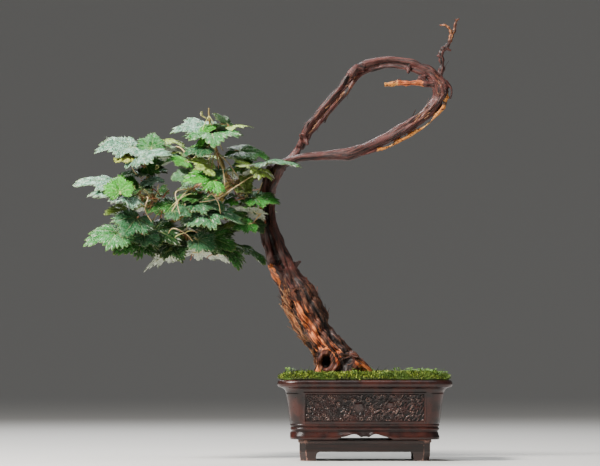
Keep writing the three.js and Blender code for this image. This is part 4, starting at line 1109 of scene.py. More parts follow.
# The ring round the knot's hole and a part ring outside it, with the turns where each starts and ends
for half_width, half_height, thickness, first, last in (
    (KNOT_HALF_WIDTH, KNOT_HALF_HEIGHT, KNOT_RING, 0.0, 2 * math.pi),
    (KNOT_HALF_WIDTH + 5.6, KNOT_HALF_HEIGHT + 5.0, 3.6, -1.2, 2.5),
):
    ring = [
        (
            KNOT_X + half_width * math.cos(t), KNOT_Y - 2 + 1.2 * math.sin(2 * t),
            KNOT_Z + half_height * math.sin(t), thickness * (1 + 0.2 * math.sin(5 * t)),
        )
        for t in np.linspace(first, last, 40)
    ]
    wood_parts.append((ring, 80, 12))
wood_parts.append((GROOVE_WEB, 20, 10))
wood_skin = joined_skins(skin(tube_rings(*part)) for part in wood_parts)
remesh = {"mode": "VOXEL", "voxel_size": BARK_VOXEL * MM, "use_smooth_shade": True}
wood_mesh = evaluated(new_mesh("wood_blank", *wood_skin), ("REMESH", remesh))


def route_samples(routes):
    """Places, radii, lengths, across and beside directions along routes, about two millimetres apart."""
    gathered = []
    for rows in routes:
        length = np.linalg.norm(np.diff(np.asarray(rows, float)[:, :3], axis=0), axis=1).sum()
        stations = along_rows(rows, max(4, round(length / 2)))
        _, across, beside = route_frames(stations[:, :3])
        steps = np.linalg.norm(np.diff(stations[:, :3], axis=0), axis=1)
        run = np.concatenate([[0], np.cumsum(steps)]) + 400.0 * len(gathered)
        gathered.append(np.column_stack([stations, run, across, beside]))
    return np.concatenate(gathered)


def nearest_rows(points, samples):
    """The sample whose surface lies nearest each point."""
    tree = kdtree.KDTree(len(samples))
    for i, place in enumerate(samples[:, :3]):
        tree.insert(place, i)
    tree.balance()
    chosen = []
    for point in points:
        found = tree.find_n(point, 6)
        chosen.append(min(found, key=lambda hit: hit[2] - samples[hit[1], 3])[1])
    return samples[chosen]


def noise_over(places, scale_across, scale_along, seed):
    """Noise stretched along the third coordinate, from about -1 to 1."""
    scaled = places / np.array([scale_across, scale_across, scale_along]) + seed
    return np.array([noise.noise(place) for place in scaled])


def near_line(points, line, reach):
    """1 on a polyline seen from the front, falling evenly to 0 at a reach from it."""
    line = np.asarray(line, float)
    start, along = line[:-1], np.diff(line, axis=0)
    offset = points[:, None, [0, 2]] - start[None]
    share = np.clip((offset * along).sum(2) / (along * along).sum(1), 0, 1)
    gap = np.linalg.norm(offset - share[..., None] * along, axis=2).min(1)
    return np.clip(1 - gap / reach, 0, 1)


def near_route(points, rows, reach):
    places = along_rows(rows, 60)[:, :3]
    gap = np.min([np.linalg.norm(points - place, axis=1) for place in places], axis=0)
    return smooth_step(gap, reach, 0.6 * reach)


# Bare wood: the long wound on the trunk's front, which bends round the knot, the lit root, whose bare wood
# is partly a painted pool of light, the pale foot at the left, the torn left shoulder and the stub
WOUND = [(-103, 240), (-94, 225), (-84, 208), (-75, 194), (-66, 182), (-54, 174), (-44, 166), (-41, 154)]
ROOT_BARE_AND_LIT = [(-10, 152), (2, 143), (9, 136)]
FOOT_WOUND = [(-82, 168), (-79, 152), (-72, 140), (-63, 134)]
SHOULDER_WOUND = [(-146, 302), (-141, 290), (-134, 276)]
GROOVES = [
    [
        (-150.5, 402), (-152, 391), (-150, 373), (-151, 364), (-145, 346), (-141, 331), (-135, 313),
        (-126, 300),
    ],
    [(-112, 245), (-107, 225), (-97, 204), (-89, 184), (-76, 163), (-78, 150)],
    [(-104, 262), (-93, 233), (-77, 211), (-63, 188), (-49, 171), (-37, 157), (-33, 142)],
    [(-92, 262), (-75, 233), (-59, 206), (-46, 185), (-29, 168)],
]
# The trunk's right flank beside the wound, darkened as painted shade
SHADED_RIGHT_FLANK = [(-112, 288), (-86, 258), (-68, 232), (-50, 204), (-36, 178), (-26, 150)]
LEFT_FLANK = [
    (-140, 285), (-130, 262), (-122, 240), (-112, 218), (-100, 196), (-90, 174), (-80, 150), (-72, 136),
]

bark_points = mesh_points(wood_mesh)
bark_normals = np.zeros(len(bark_points) * 3)
wood_mesh.vertices.foreach_get("normal", bark_normals)
bark_normals = bark_normals.reshape(-1, 3)
in_crown = smooth_step(bark_points[:, 0], -196.0, -206.0)
WOOD_ROUTES = [TRUNK, STRAND_LEFT, STRAND_RIGHT, LOOP, TWIG, TWIG_FORK, STUB, *CANES, *SNAGS, *ROOTS]
rows = nearest_rows(bark_points, route_samples(WOOD_ROUTES))
radius, run = rows[:, 3], rows[:, 4]
offset = bark_points - rows[:, :3]
angle = np.arctan2((offset * rows[:, 8:11]).sum(1), (offset * rows[:, 5:8]).sum(1)) + run / 260.0
grain = np.column_stack([radius * np.cos(angle), radius * np.sin(angle), run])
stout = smooth_step(radius, 10.0, 22.0) * smooth_step(bark_points[:, 2], 330.0, 280.0)
stout = np.maximum(stout, 0.85 * smooth_step(bark_points[:, 2], 205.0, 185.0))
leader = smooth_step(bark_points[:, 2], 268.0, 300.0) * smooth_step(bark_points[:, 2], 470.0, 430.0)
leader *= smooth_step(bark_points[:, 0], -85.0, -105.0)
facing = smooth_step(-bark_normals[:, 1], 0.0, 0.5)
wound = near_line(bark_points, WOUND, 17.0) * facing * stout
root_bare_and_lit = near_line(bark_points, ROOT_BARE_AND_LIT, 10.0) * facing * (bark_points[:, 2] < 156)
foot_wound = near_line(bark_points, FOOT_WOUND, 13.0) * facing
shoulder = near_line(bark_points, SHOULDER_WOUND, 12.0) * facing
lip = np.maximum(near_route(bark_points, dead_lip, 4.4), near_route(bark_points, lip_thread, 3.2))
lip *= smooth_step(bark_points[:, 0], 12.0, 28.0)
cut_wood = near_route(bark_points, STUB, 7.0) * smooth_step(bark_points[:, 0], 56.0, 50.0)
stub_skin = near_route(bark_points, STUB, 7.0) * smooth_step(bark_points[:, 0], 102.0, 88.0)
bare = np.maximum.reduce([wound, root_bare_and_lit, foot_wound, 0.75 * shoulder, 0.62 * stub_skin])
dead = np.clip(lip + cut_wood, 0, 1)
rough_part = near_line(bark_points, [(112, 604), (122, 579), (114, 556), (92, 538), (74, 525)], 25.0)
shreds = near_line(bark_points, [(-10, 600), (-30, 574), (-56, 548), (-78, 524)], 12.0)
flank = near_line(bark_points, LEFT_FLANK, 20.0) * stout
twig_top = smooth_step(bark_points[:, 2], 636.0, 662.0)
worn = np.clip(flank + 0.5 * rough_part + 0.5 * shreds + 0.7 * twig_top, 0, 1)
groove = np.maximum.reduce([near_line(bark_points, line, 4.2) for line in GROOVES])
groove = smooth_step(groove, 0.1, 0.7) * facing

# How deep the bark is cut, in millimetres, and the relief that leaves its skin where it was
FURROW_DEPTH, RIB_DEPTH, THREAD_DEPTH, LUMP_DEPTH, GROOVE_DEPTH = 2.6, 1.2, 0.45, 1.1, 2.2
EVEN_RELIEF = 1.5

furrows = np.abs(noise_over(grain, 4.6, 58.0, 3.0)) * 2
ribs = np.abs(noise_over(grain, 2.1, 30.0, 11.0)) * 2
threads = noise_over(grain, 1.3, 20.0, 23.0)
lumps = noise_over(bark_points, 12.0, 16.0, 5.0)
relief = FURROW_DEPTH * np.minimum(furrows, 0.6) + RIB_DEPTH * np.minimum(ribs, 0.7)
relief += THREAD_DEPTH * threads
coarse = np.clip(0.3 + 0.8 * stout + 0.6 * rough_part + 0.15 * leader, 0, 1.15)
smoothed = 1 - 0.5 * smooth_step(bare, 0.3, 0.6) - 0.5 * dead
swelling = LUMP_DEPTH * lumps * (0.5 + 0.6 * stout + 0.9 * rough_part)
depth = coarse * smoothed * (relief - EVEN_RELIEF) + swelling - GROOVE_DEPTH * groove
hole_x = (bark_points[:, 0] - KNOT_X) / (KNOT_HALF_WIDTH - KNOT_INSET)
hole_z = (bark_points[:, 2] - KNOT_Z) / (KNOT_HALF_HEIGHT - KNOT_INSET)
from_hole = np.hypot(hole_x, hole_z)
in_hole = smooth_step(from_hole, 1.0, 0.66) * (bark_points[:, 1] < 0) * facing
callus = smooth_step(from_hole, 2.3, 1.5) * facing * (bark_points[:, 1] < 0)
knot_bark = smooth_step(from_hole, 1.85, 1.45)
bark_points = bark_points + bark_normals * (depth * (1 - in_hole) * (1 - 0.92 * callus))[:, None]
bark_points[:, 1] += KNOT_DEPTH * in_hole
wood_mesh.vertices.foreach_set("co", in_frame(bark_points).ravel())
wood_mesh.update()
set_values(wood_mesh, {
    "grain": grain * MM,
    "ahead": np.cross(rows[:, 5:8], rows[:, 8:11]),
    "bare": bare * (1 - 0.85 * knot_bark),
    "dead": dead,
    "furrow": np.clip(relief / FURROW_DEPTH, 0, 1) * (1 - groove),
    "deep": in_hole,
    "stout": stout,
    "leader": leader,
    "right_flank_shade": near_line(bark_points, SHADED_RIGHT_FLANK, 19.0) * (bark_normals[:, 1] < 0.2),
    "worn": worn,
    "cane": in_crown,
    "shag": np.clip(0.9 * flank + 0.35 * stout + 0.2 * rough_part + 0.7 * shreds, 0, 1) * (1 - callus),
})


def make_bark():
    material, tree, shader, place = new_material("vine_bark", 0.6, Specular_IOR_Level=0.4)
    grain = attribute(tree, "grain", "Vector")
    fibres = placed_group(tree, FIBRE, {"Place": grain, "Spacing": 0.0034, "Length": 16.0})
    fine = placed_group(tree, FIBRE, {"Place": grain, "Spacing": 0.0011, "Length": 18.0})
    spots = placed_group(tree, MOTTLE, {"Place": place, "Size": 0.026})
    stout, worn, leader = attribute(tree, "stout"), attribute(tree, "worn"), attribute(tree, "leader")
    streak = step_up(tree, fibres["Streak"], 0.36, 0.62)
    hairs = step_up(tree, fine["Streak"], 0.42, 0.68)
    old = blend(tree, streak, srgb(20, 10, 8), srgb(84, 38, 25))
    young = blend(tree, streak, srgb(15, 7, 7), srgb(74, 32, 28))
    skin_colour = blend(tree, stout, young, old)
    skin_colour = blend(tree, leader, skin_colour, blend(tree, streak, srgb(16, 9, 8), srgb(62, 33, 27)))
    cane = blend(tree, streak, srgb(112, 88, 44), srgb(198, 180, 100))
    skin_colour = blend(tree, attribute(tree, "cane"), skin_colour, cane)
    tan = blend(tree, streak, srgb(58, 26, 15), srgb(196, 118, 66))
    tan = blend(tree, step_up(tree, fine["Streak"], 0.52, 0.42), tan, srgb(62, 29, 17))
    tan = blend(tree, step_up(tree, fine["Streak"], 0.56, 0.66), tan, srgb(236, 188, 124))
    ragged = plus(tree, worn, times(tree, fibres["Hair"], 1.2))
    skin_colour = blend(tree, step_up(tree, ragged, 1.05, 1.4), skin_colour, tan)
    red_spots = times(tree, step_up(tree, spots["Broad"], 0.5, 0.7), 0.7)
    skin_colour = blend(tree, red_spots, skin_colour, blend(tree, stout, srgb(84, 34, 28), srgb(92, 30, 16)))
    # Painted shade: the bark on the trunk's right flank darkens towards near black.
    right_flank_shade = plus(tree, attribute(tree, "right_flank_shade"), times(tree, fibres["Streak"], 0.5))
    right_flank_shade = times(tree, step_up(tree, right_flank_shade, 0.6, 0.95), 0.8)
    skin_colour = blend(tree, right_flank_shade, skin_colour, srgb(24, 12, 9))
    # Pale fibre threads: tan on the old wood; on the young wood their pink is a painted highlight along the
    # ridges.
    thread_and_highlight = times(tree, hairs, plus(tree, 0.16, times(tree, stout, 0.21)))
    thread_and_highlight_colour = blend(tree, stout, srgb(206, 142, 128), srgb(176, 116, 80))
    skin_colour = blend(tree, thread_and_highlight, skin_colour, thread_and_highlight_colour)
    wood_colour = blend(tree, streak, srgb(158, 64, 26), srgb(238, 138, 76))
    wood_colour = blend(tree, step_up(tree, fine["Streak"], 0.48, 0.38), wood_colour, srgb(74, 28, 14))
    wood_colour = blend(tree, step_up(tree, fine["Streak"], 0.62, 0.7), wood_colour, srgb(246, 176, 112))
    torn = plus(tree, attribute(tree, "bare"), times(tree, fibres["Streak"], 0.9))
    colour = blend(tree, step_up(tree, torn, 0.9, 0.98), skin_colour, wood_colour)
    dead = plus(tree, attribute(tree, "dead"), times(tree, fibres["Hair"], 0.7))
    dry = blend(tree, hairs, srgb(186, 112, 40), srgb(238, 182, 104))
    dry = blend(tree, step_up(tree, spots["Fine"], 0.4, 0.48), srgb(92, 44, 22), dry)
    colour = blend(tree, step_up(tree, dead, 0.78, 0.92), colour, dry)
    # The bark darkens to near black at the bottom of its furrows: painted shade in the furrows.
    furrow_shade = step_up(tree, attribute(tree, "furrow"), 0.4, 0.18)
    colour = blend(tree, times(tree, furrow_shade, 0.92), colour, srgb(20, 11, 8))
    split = times(tree, step_up(tree, fibres["Streak"], 0.4, 0.33), stout)
    colour = blend(tree, times(tree, split, 0.85), colour, srgb(18, 9, 7))
    # Inside the knot's hole the bark turns near black: painted shade in the hole.
    colour = blend(tree, step_up(tree, attribute(tree, "deep"), 0.15, 0.7), colour, srgb(14, 8, 6))
    height = plus(tree, fibres["Streak"], times(tree, fine["Streak"], 0.5))
    rough = minus(tree, 0.62, times(tree, hairs, 0.3))
    rough = plus(tree, rough, times(tree, stout, 0.1))
    rough = minus(tree, rough, times(tree, leader, 0.18))
    rough = plus(tree, rough, times(tree, attribute(tree, "bare"), 0.18))
    rough = maths(tree, "MAXIMUM", rough, attribute(tree, "deep"))
    wire(tree, shader, Base_Color=colour, Roughness=rough, Normal=bumped(tree, height, 0.0016, 0.9))
    return material


def make_shreds():
    material, tree, shader, place = new_material("bark_shreds", 0.75)
    spots = placed_group(tree, MOTTLE, {"Place": place, "Size": 0.01})
    dark = blend(tree, attribute(tree, "tint"), srgb(36, 19, 14), srgb(104, 56, 36))
    pale = blend(tree, attribute(tree, "tint"), srgb(92, 48, 30), srgb(214, 158, 110))
    paleness = plus(tree, attribute(tree, "worn"), times(tree, spots["Broad"], 0.8))
    colour = blend(tree, step_up(tree, paleness, 0.55, 1.0), dark, pale)
    flecks = times(tree, step_up(tree, spots["Fine"], 0.48, 0.6), 0.75)
    colour = blend(tree, flecks, colour, srgb(44, 22, 15))
    wire(tree, shader, Base_Color=colour, Normal=bumped(tree, spots["Fine"], 0.0004))
    return material


VINE_BARK = make_bark()
BARK_SHREDS = make_shreds()
wood_mesh.materials.clear()
strip_values = {"Density": 26000.0, "Length": 0.013, "Width": 0.0016, "Seed": 7, "Material": BARK_SHREDS}
strip_mesh = grown(wood_mesh, STRIP_SCATTER, strip_values)
strip_mesh.materials.clear()
add_piece("twisted_vine", "vine_wood", wood_mesh, [VINE_BARK])
add_piece("bark_strips", "vine_wood", strip_mesh, [BARK_SHREDS])


# Shoots. This year's green stems grew out of the old canes, ten in the front of the crown and four
# behind it. Each bears broad lobed leaves with a toothed edge and veins that fan out from the
# petiole's notch.

LEAF_SEED = 20761
BLADE_THICKNESS = 0.36
PETIOLE_RADIUS, INNER_PETIOLE_RADIUS = 1.0, 0.65
NODE_SWELL = 1.35
INNER_LEAVES = 5
INNER_LENGTHS = (20, 34)
INNER_TONES = ["mid", "dark", "bright", "teal", "olive"]
INNER_TWIGS = 11
TWIG_LENGTHS = (14, 34)
TENDRIL_STEPS = 14
TENDRIL_LENGTHS = (26, 40)
ROUTE_STEPS = 12
SHOOT_SEED = 500
# Half of a blade's edge, round a point just off its notch: the turn from the tip in degrees, and the
# reach as a share of the blade's length
LEAF_EDGE = [
    (0, 0.97), (9, 0.86), (22, 0.72), (32, 0.63), (40, 0.66), (49, 0.75), (57, 0.75), (65, 0.66), (74, 0.6),
    (82, 0.66), (92, 0.66), (101, 0.6), (110, 0.54), (121, 0.53), (133, 0.49), (147, 0.4), (158, 0.28),
]
LEAF_VEIN_TURNS = [0, 50, 90, 131]
LEAF_RAYS = 48
LEAF_SHARES = [0.16, 0.38, 0.6, 0.82, 1.0]
TOOTH_DEPTH = 0.095
CRINKLE = 0.017
PUFF = 0.042
WAVE = 0.034
# How far ahead of its notch a blade's rays meet, as a share of its length
HUB = 0.03
# The materials of a shoot's faces, by their places in LEAF_MATERIALS
BLADE_SKIN, STEM_SKIN = 0, 1

# The upper face's colour on the screen, before light and sheen. The bright, lime and yellow tones are partly
# young leaves' own greens and partly painted light, brightened for leaves lit through from behind
TONES = {
    "pale": (98, 160, 102), "frost": (104, 160, 128), "teal": (54, 122, 70), "mint": (62, 148, 68),
    "grass": (36, 146, 24), "mid": (44, 122, 30), "dark": (26, 82, 20), "bright": (60, 182, 0),
    "lime": (172, 212, 66), "olive": (112, 144, 38), "yellow": (200, 214, 62),
}

# Each shoot: its stem as [x, y, z, radius], and its leaves as petiole end x, y, z, tip x, y, z, tilt
# towards the front in degrees and tone
SHOOTS = {
    "upper_left": ([
        (-284, -3, 378, 2.6), (-320, -14, 396, 2.3), (-332, -22, 424, 2), (-338, -28, 449, 1.8),
        (-345, -34, 468, 1.5),
    ], [
        (-361, -40, 485, -419, -52, 476, 28, "frost"), (-353, -67, 467, -298, -72, 474, 22, "frost"),
        (-331, -36, 484, -327, -14, 510, 60, "mint"), (-316, -4, 498, -279, -12, 488, 10, "lime"),
        (-364, -66, 469, -387, -76, 460, 40, "yellow"), (-350, -30, 445, -383, -48, 436, 12, "pale"),
        (-339, -10, 456, -306, -18, 446, 40, "dark"), (-336, -50, 434, -308, -60, 431, 25, "frost"),
    ]),
    "top": ([
        (-230, -25, 481, 2.2), (-234, -30, 496, 2), (-238, -33, 512, 1.7), (-241, -34, 528, 1.4),
        (-242, -34, 547, 1),
    ], [
        (-239, 2, 519, -304, -14, 507, 22, "frost"), (-236, -50, 507, -233, -108, 480, 45, "mint"),
        (-209, -24, 517, -171, -20, 516, 8, "lime"), (-214, -4, 524, -238, 4, 541, 12, "dark"),
        (-247, -68, 481, -281, -80, 470, 20, "teal"), (-277, -58, 461, -310, -64, 462, 24, "bright"),
        (-241, -76, 451, -278, -80, 463, 28, "lime"), (-227, -40, 445, -241, -34, 457, 55, "pale"),
    ]),
    "left": ([
        (-272, -5, 384, 2.6), (-308, -28, 397, 2.2), (-340, -42, 409, 1.9), (-362, -50, 413, 1.5),
    ], [
        (-384, -45, 431, -452, -58, 426, 16, "frost"), (-375, -110, 412, -382, -86, 438, 60, "bright"),
        (-366, -78, 409, -428, -96, 405, 22, "frost"),
    ]),
    "lower_left": ([
        (-300, 0, 371, 2.6), (-326, -20, 370, 2.2), (-350, -36, 366, 1.9), (-368, -46, 360, 1.5),
    ], [
        (-364, -46, 385, -404, -58, 380, 28, "olive"), (-350, -86, 374, -373, -114, 342, 62, "teal"),
        (-367, -56, 377, -379, -62, 357, 60, "bright"), (-380, -60, 352, -435, -75, 332, 28, "mint"),
    ]),
    "bottom_left": ([
        (-263, 0, 338, 2.6), (-287, -14, 337, 2.2), (-311, -24, 335, 1.9), (-328, -30, 333, 1.5),
    ], [
        (-345, -45, 340, -389, -65, 318, 50, "mid"), (-342, -62, 349, -314, -70, 332, 45, "teal"),
        (-327, -45, 357, -284, -58, 334, 45, "dark"), (-300, -42, 334, -281, -62, 305, 45, "dark"),
        (-300, 2, 322, -344, -6, 292, -15, "dark"),
    ]),
    "bottom_right": ([
        (-250, 8, 352, 2.6), (-244, -6, 343, 2.2), (-232, -22, 334, 1.9), (-217, -32, 330, 1.5),
    ], [
        (-258, -72, 341, -230, -84, 324, 50, "teal"), (-241, -52, 345, -199, -62, 325, 42, "mid"),
        (-261, -20, 323, -209, -24, 304, -14, "mid"), (-223, -50, 329, -195, -74, 292, -6, "mid"),
        (-200, -22, 334, -153, -34, 303, 4, "mid"), (-239, -25, 362, -211, -35, 346, 35, "dark"),
    ]),
    "right": ([
        (-233, 13, 388, 2.6), (-217, -5, 380, 2.2), (-194, -16, 373, 1.9), (-172, -22, 368, 1.5),
    ], [
        (-252, -68, 384, -185, -82, 366, 26, "teal"), (-178, -50, 366, -206, -60, 356, 35, "grass"),
        (-169, -28, 368, -157, -32, 351, 40, "dark"), (-166, -34, 383, -213, -42, 385, -12, "mid"),
    ]),
    "upper_right": ([
        (-205, 10, 430, 2.6), (-203, -14, 428, 2.3), (-190, -30, 440, 1.9), (-174, -36, 450, 1.5),
    ], [
        (-196, -12, 481, -143, -8, 464, 20, "mid"), (-161, -36, 451, -227, -34, 473, 9, "lime"),
        (-158, -50, 460, -95, -58, 449, 7, "teal"),
    ]),
    "centre": ([
        (-244, 0, 401, 2.6), (-248, -28, 404, 2.3), (-257, -52, 414, 1.9), (-268, -66, 420, 1.5),
    ], [
        (-270, -72, 437, -299, -80, 434, 52, "pale"), (-233, -88, 432, -280, -104, 430, 40, "bright"),
        (-261, -72, 399, -216, -78, 388, 30, "teal"), (-294, -88, 384, -266, -100, 375, 42, "teal"),
        (-294, -55, 395, -333, -62, 385, 35, "mid"), (-230, -62, 437, -214, -58, 449, 50, "pale"),
    ]),
    "trunk_side": ([
        (-160, -3, 396, 2.4), (-166, -16, 400, 2.1), (-172, -26, 403, 1.7), (-180, -32, 405, 1.4),
    ], [
        (-170, -37, 407, -130, -45, 396, 28, "grass"), (-169, -25, 404, -194, -30, 410, 25, "dark"),
        (-203, -45, 402, -220, -50, 397, 35, "bright"), (-213, -38, 409, -197, -42, 409, 25, "mid"),
    ]),
}
# The rear leaves' tilt, as a share of their solids' tilt
REAR_TILT_SHARE = 0.35
# The rear leaves' tones: leaf greens kept to the duller and darker ones, as painted shade for leaves behind
# the crown
REAR_TONES = ["mid", "dark", "teal", "olive"]
# The rear shoots' stems, the way their leaves lean in degrees from +X towards +Y, and how many they have
REAR_SHOOTS = {
    "rear_upper": (
        [(-244, 79, 416, 2), (-248, 82, 438, 2.2), (-262, 80, 464, 1.9), (-282, 74, 484, 1.5)], 95, 5,
    ),
    "rear_left": (
        [(-252, 86, 410.5, 2), (-288, 90, 400, 2.2), (-322, 82, 398, 1.9), (-350, 70, 402, 1.5)], 160, 5,
    ),
    "rear_lower": (
        [(-245.5, 11, 362, 2.2), (-250, 34, 350, 2), (-262, 60, 338, 1.9), (-278, 76, 330, 1.5)], 120, 4,
    ),
    "rear_right": (
        [(-203, 32, 437, 2.2), (-200, 54, 430, 2.2), (-188, 72, 414, 1.9), (-178, 82, 394, 1.5)], 142, 4,
    ),
}


def seeded_draws(seed):
    """The same row of draws as the solids were made with."""
    state = seed
    while True:
        state = (state * 16807) % 2147483647
        yield state / 2147483647


def rear_leaves(stem, out, count, draws):
    route = along_rows(stem, ROUTE_STEPS)
    leaves = []
    for i in range(count):
        x, y, z = route[round(ROUTE_STEPS * (i + 1) / count), :3]
        away = math.radians(out + (1 if i % 2 == 0 else -1) * (20 + 45 * next(draws)))
        reach = 20 + 16 * next(draws)
        length = 44 + 16 * next(draws)
        lift = 3 + 8 * (i % 3) + 5 * next(draws)
        drop = 4 + 12 * next(draws)
        joint = (x + reach * math.cos(away), y + reach * math.sin(away), z + lift)
        tip = (joint[0] + length * math.cos(away), joint[1] + length * math.sin(away), joint[2] - drop)
        tilt = REAR_TILT_SHARE * (-6 - 22 * next(draws))
        leaves.append((*joint, *tip, tilt, REAR_TONES[i % 4]))
    return leaves


def leaf_frame(joint, tip, tilt):
    along = tip - joint
    length = np.linalg.norm(along)
    along = along / length
    up = np.array([0, -math.sin(math.radians(tilt)), math.cos(math.radians(tilt))])
    up -= along * up.dot(along)
    up /= np.linalg.norm(up)
    return along, np.cross(up, along), up, length


def blade(joint, axes, arch, fold, tone, draw):
    """A leaf's blade: points, faces and the values at its points."""
    along, left, up, length = axes
    last_turn = LEAF_EDGE[-1][0]
    turns = np.linspace(-last_turn, last_turn, 2 * LEAF_RAYS + 1)
    reach = np.interp(np.abs(turns), *zip(*LEAF_EDGE))
    teeth = np.array([1.0, 0.1, -1.0])[np.abs(np.arange(len(turns)) - LEAF_RAYS) % 3]
    uneven = TOOTH_DEPTH * teeth * draw.uniform(0.6, 1.4, len(turns)) + 0.015 * draw.normal(size=len(turns))
    uneven += 0.07 * np.sin(np.radians(turns) * 1.5 + draw.uniform(0, 6))
    reach = reach * (1 + uneven * np.minimum(1, np.abs(turns) / 12))
    lean = np.where(teeth > 0.5, -0.4, np.where(teeth < -0.5, -1.4, 0.6)) * np.sign(turns)
    angle = np.radians(turns + lean)
    share = np.array(LEAF_SHARES)[:, None]
    x = HUB + share * reach * np.cos(angle)
    y = share * reach * np.sin(angle)
    vein_phase = np.interp(np.abs(turns), [*LEAF_VEIN_TURNS, 175], range(5))
    puff = PUFF * (0.5 - 0.5 * np.cos(2 * math.pi * vein_phase)) * share
    wave = WAVE * np.sin(np.radians(turns) * 6 + draw.uniform(0, 6)) * share ** 2
    curl = -draw.uniform(0.0, 0.09) * share ** 3 * (np.abs(y) + 0.3 * x)
    crinkle = draw.uniform(-CRINKLE, CRINKLE, reach.shape)[None, :] * share * (1 - 0.4 * share)
    crinkle = crinkle + draw.uniform(-CRINKLE, CRINKLE, x.shape)
    rise = crinkle + 4 * arch * x * (1 - x) + fold * np.abs(y) - 0.22 * y * y + puff + wave + curl
    ends = ((x, HUB), (y, 0.0), (rise, 0.12 * arch))
    x, y, rise = (np.append(values.ravel(), end) for values, end in ends)
    flat = joint + length * (x[:, None] * along + y[:, None] * left + rise[:, None] * up)
    rays, rings = len(turns), len(LEAF_SHARES)
    sheet = [(rings * rays, j, j + 1) for j in range(rays - 1)]
    for i in range(rings - 1):
        for j in range(rays - 1):
            a = i * rays + j
            sheet.append((a, a + rays, a + rays + 1, a + 1))
    count = len(flat)
    faces = sheet + [tuple(count + k for k in face[::-1]) for face in sheet]
    edge = [rings * rays] + [i * rays for i in range(rings)]
    edge += [(rings - 1) * rays + j for j in range(1, rays)]
    edge += [i * rays + rays - 1 for i in range(rings - 2, -1, -1)]
    for a, b in zip(edge, edge[1:] + edge[:1]):
        faces.append((b, a, a + count, b + count))
    points = np.concatenate([flat + up * BLADE_THICKNESS / 2, flat - up * BLADE_THICKNESS / 2])
    under = np.repeat([0.0, 1.0], count)
    plan = np.column_stack([np.tile(x - HUB, 2), np.tile(y, 2), under])
    rim = np.tile(np.append(np.repeat(share[:, 0], rays), 0.0), 2)
    return points, faces, plan, np.tile(tone, (2 * count, 1)), rim


def petiole_rows(start, joint, axes, thick):
    along, _, up, length = axes
    behind = joint - 0.1 * length * along - up
    middle = (start + behind) / 2 + np.array([0, 0, 0.1 * np.linalg.norm(start - behind)])
    notch = joint + along * 0.04 * length
    places = [start, middle, behind, notch]
    return [(*place, thick * width) for place, width in zip(places, (1.5, 0.95, 1.1, 0.8))]


def gathered(parts):
    """One mesh's points, faces, values and face materials from many parts' lists."""
    points, faces, kinds = [], [], []
    values = {"plan": [], "tone": [], "rim": []}
    start = 0
    for part_points, part_faces, plan, tone, rim, kind in parts:
        points.append(part_points)
        faces.extend([start + k for k in face] for face in part_faces)
        for key, numbers in zip(values, (plan, tone, rim)):
            values[key].append(numbers)
        kinds.extend([kind] * len(part_faces))
        start += len(part_points)
    return np.concatenate(points), faces, {k: np.concatenate(v) for k, v in values.items()}, kinds


def stem_part(rows, steps, sides, colour):
    """A round stem of one colour, ready to be gathered with blades."""
    points, faces = skin(tube_rings(rows, steps, sides))
    count = len(points)
    tone = np.tile(colour, (count, 1))
    return np.array(points), faces, np.zeros((count, 3)), tone, np.zeros(count), STEM_SKIN


def make_leaf_veins():
    """Veins of a blade. Plan is its x and its y off the notch, in shares of its length."""
    outputs = [("Main", "Float"), ("Side", "Float"), ("Puff", "Float")]
    tree, given, result = new_group("leaf_veins", "ShaderNodeTree", [("Plan", "Vector", None)], outputs)
    split = node(tree, "ShaderNodeSeparateXYZ", {0: given["Plan"]})
    x, y = split.outputs[0], maths(tree, "ABSOLUTE", split.outputs[1])
    main, side, nearest = None, None, None
    for turn in LEAF_VEIN_TURNS:
        c, s = math.cos(math.radians(turn)), math.sin(math.radians(turn))
        along = plus(tree, times(tree, x, c), times(tree, y, s))
        off = minus(tree, times(tree, x, s), times(tree, y, c))
        across = maths(tree, "ABSOLUTE", off)
        width = times(tree, step_up(tree, along, 0.95, -0.1), 0.017)
        ridge = step_up(tree, minus(tree, across, width), 0.006, -0.004)
        ridge = times(tree, ridge, step_up(tree, along, -0.02, 0.02))
        chevron = maths(tree, "PINGPONG", minus(tree, along, across), 0.062)
        branch = step_up(tree, chevron, 0.0075, 0.0015)
        gap = plus(tree, across, times(tree, step_up(tree, along, 0.1, -0.05), 0.5))
        if main is None:
            main, side, nearest = ridge, branch, gap
        else:
            main = maths(tree, "MAXIMUM", main, ridge)
            closer = maths(tree, "LESS_THAN", gap, nearest)
            choice = {0: closer, 2: side, 3: branch}
            side = node(tree, "ShaderNodeMix", choice, data_type="FLOAT").outputs[0]
            nearest = maths(tree, "MINIMUM", nearest, gap)
    cells = {"Vector": given["Plan"], "Scale": 19.0}
    net = node(tree, "ShaderNodeTexVoronoi", cells, feature="DISTANCE_TO_EDGE")
    puffed = step_up(tree, net.outputs["Distance"], 0.0, 0.2)
    tree.links.new(main, result["Main"])
    tree.links.new(side, result["Side"])
    tree.links.new(puffed, result["Puff"])
    return tree


LEAF_VEINS = make_leaf_veins()


def toned(tree, colour, value, saturation=1.0):
    """A colour made lighter or darker, and duller or stronger."""
    changes = {"Color": colour, "Value": value, "Saturation": saturation}
    return node(tree, "ShaderNodeHueSaturation", changes).outputs[0]


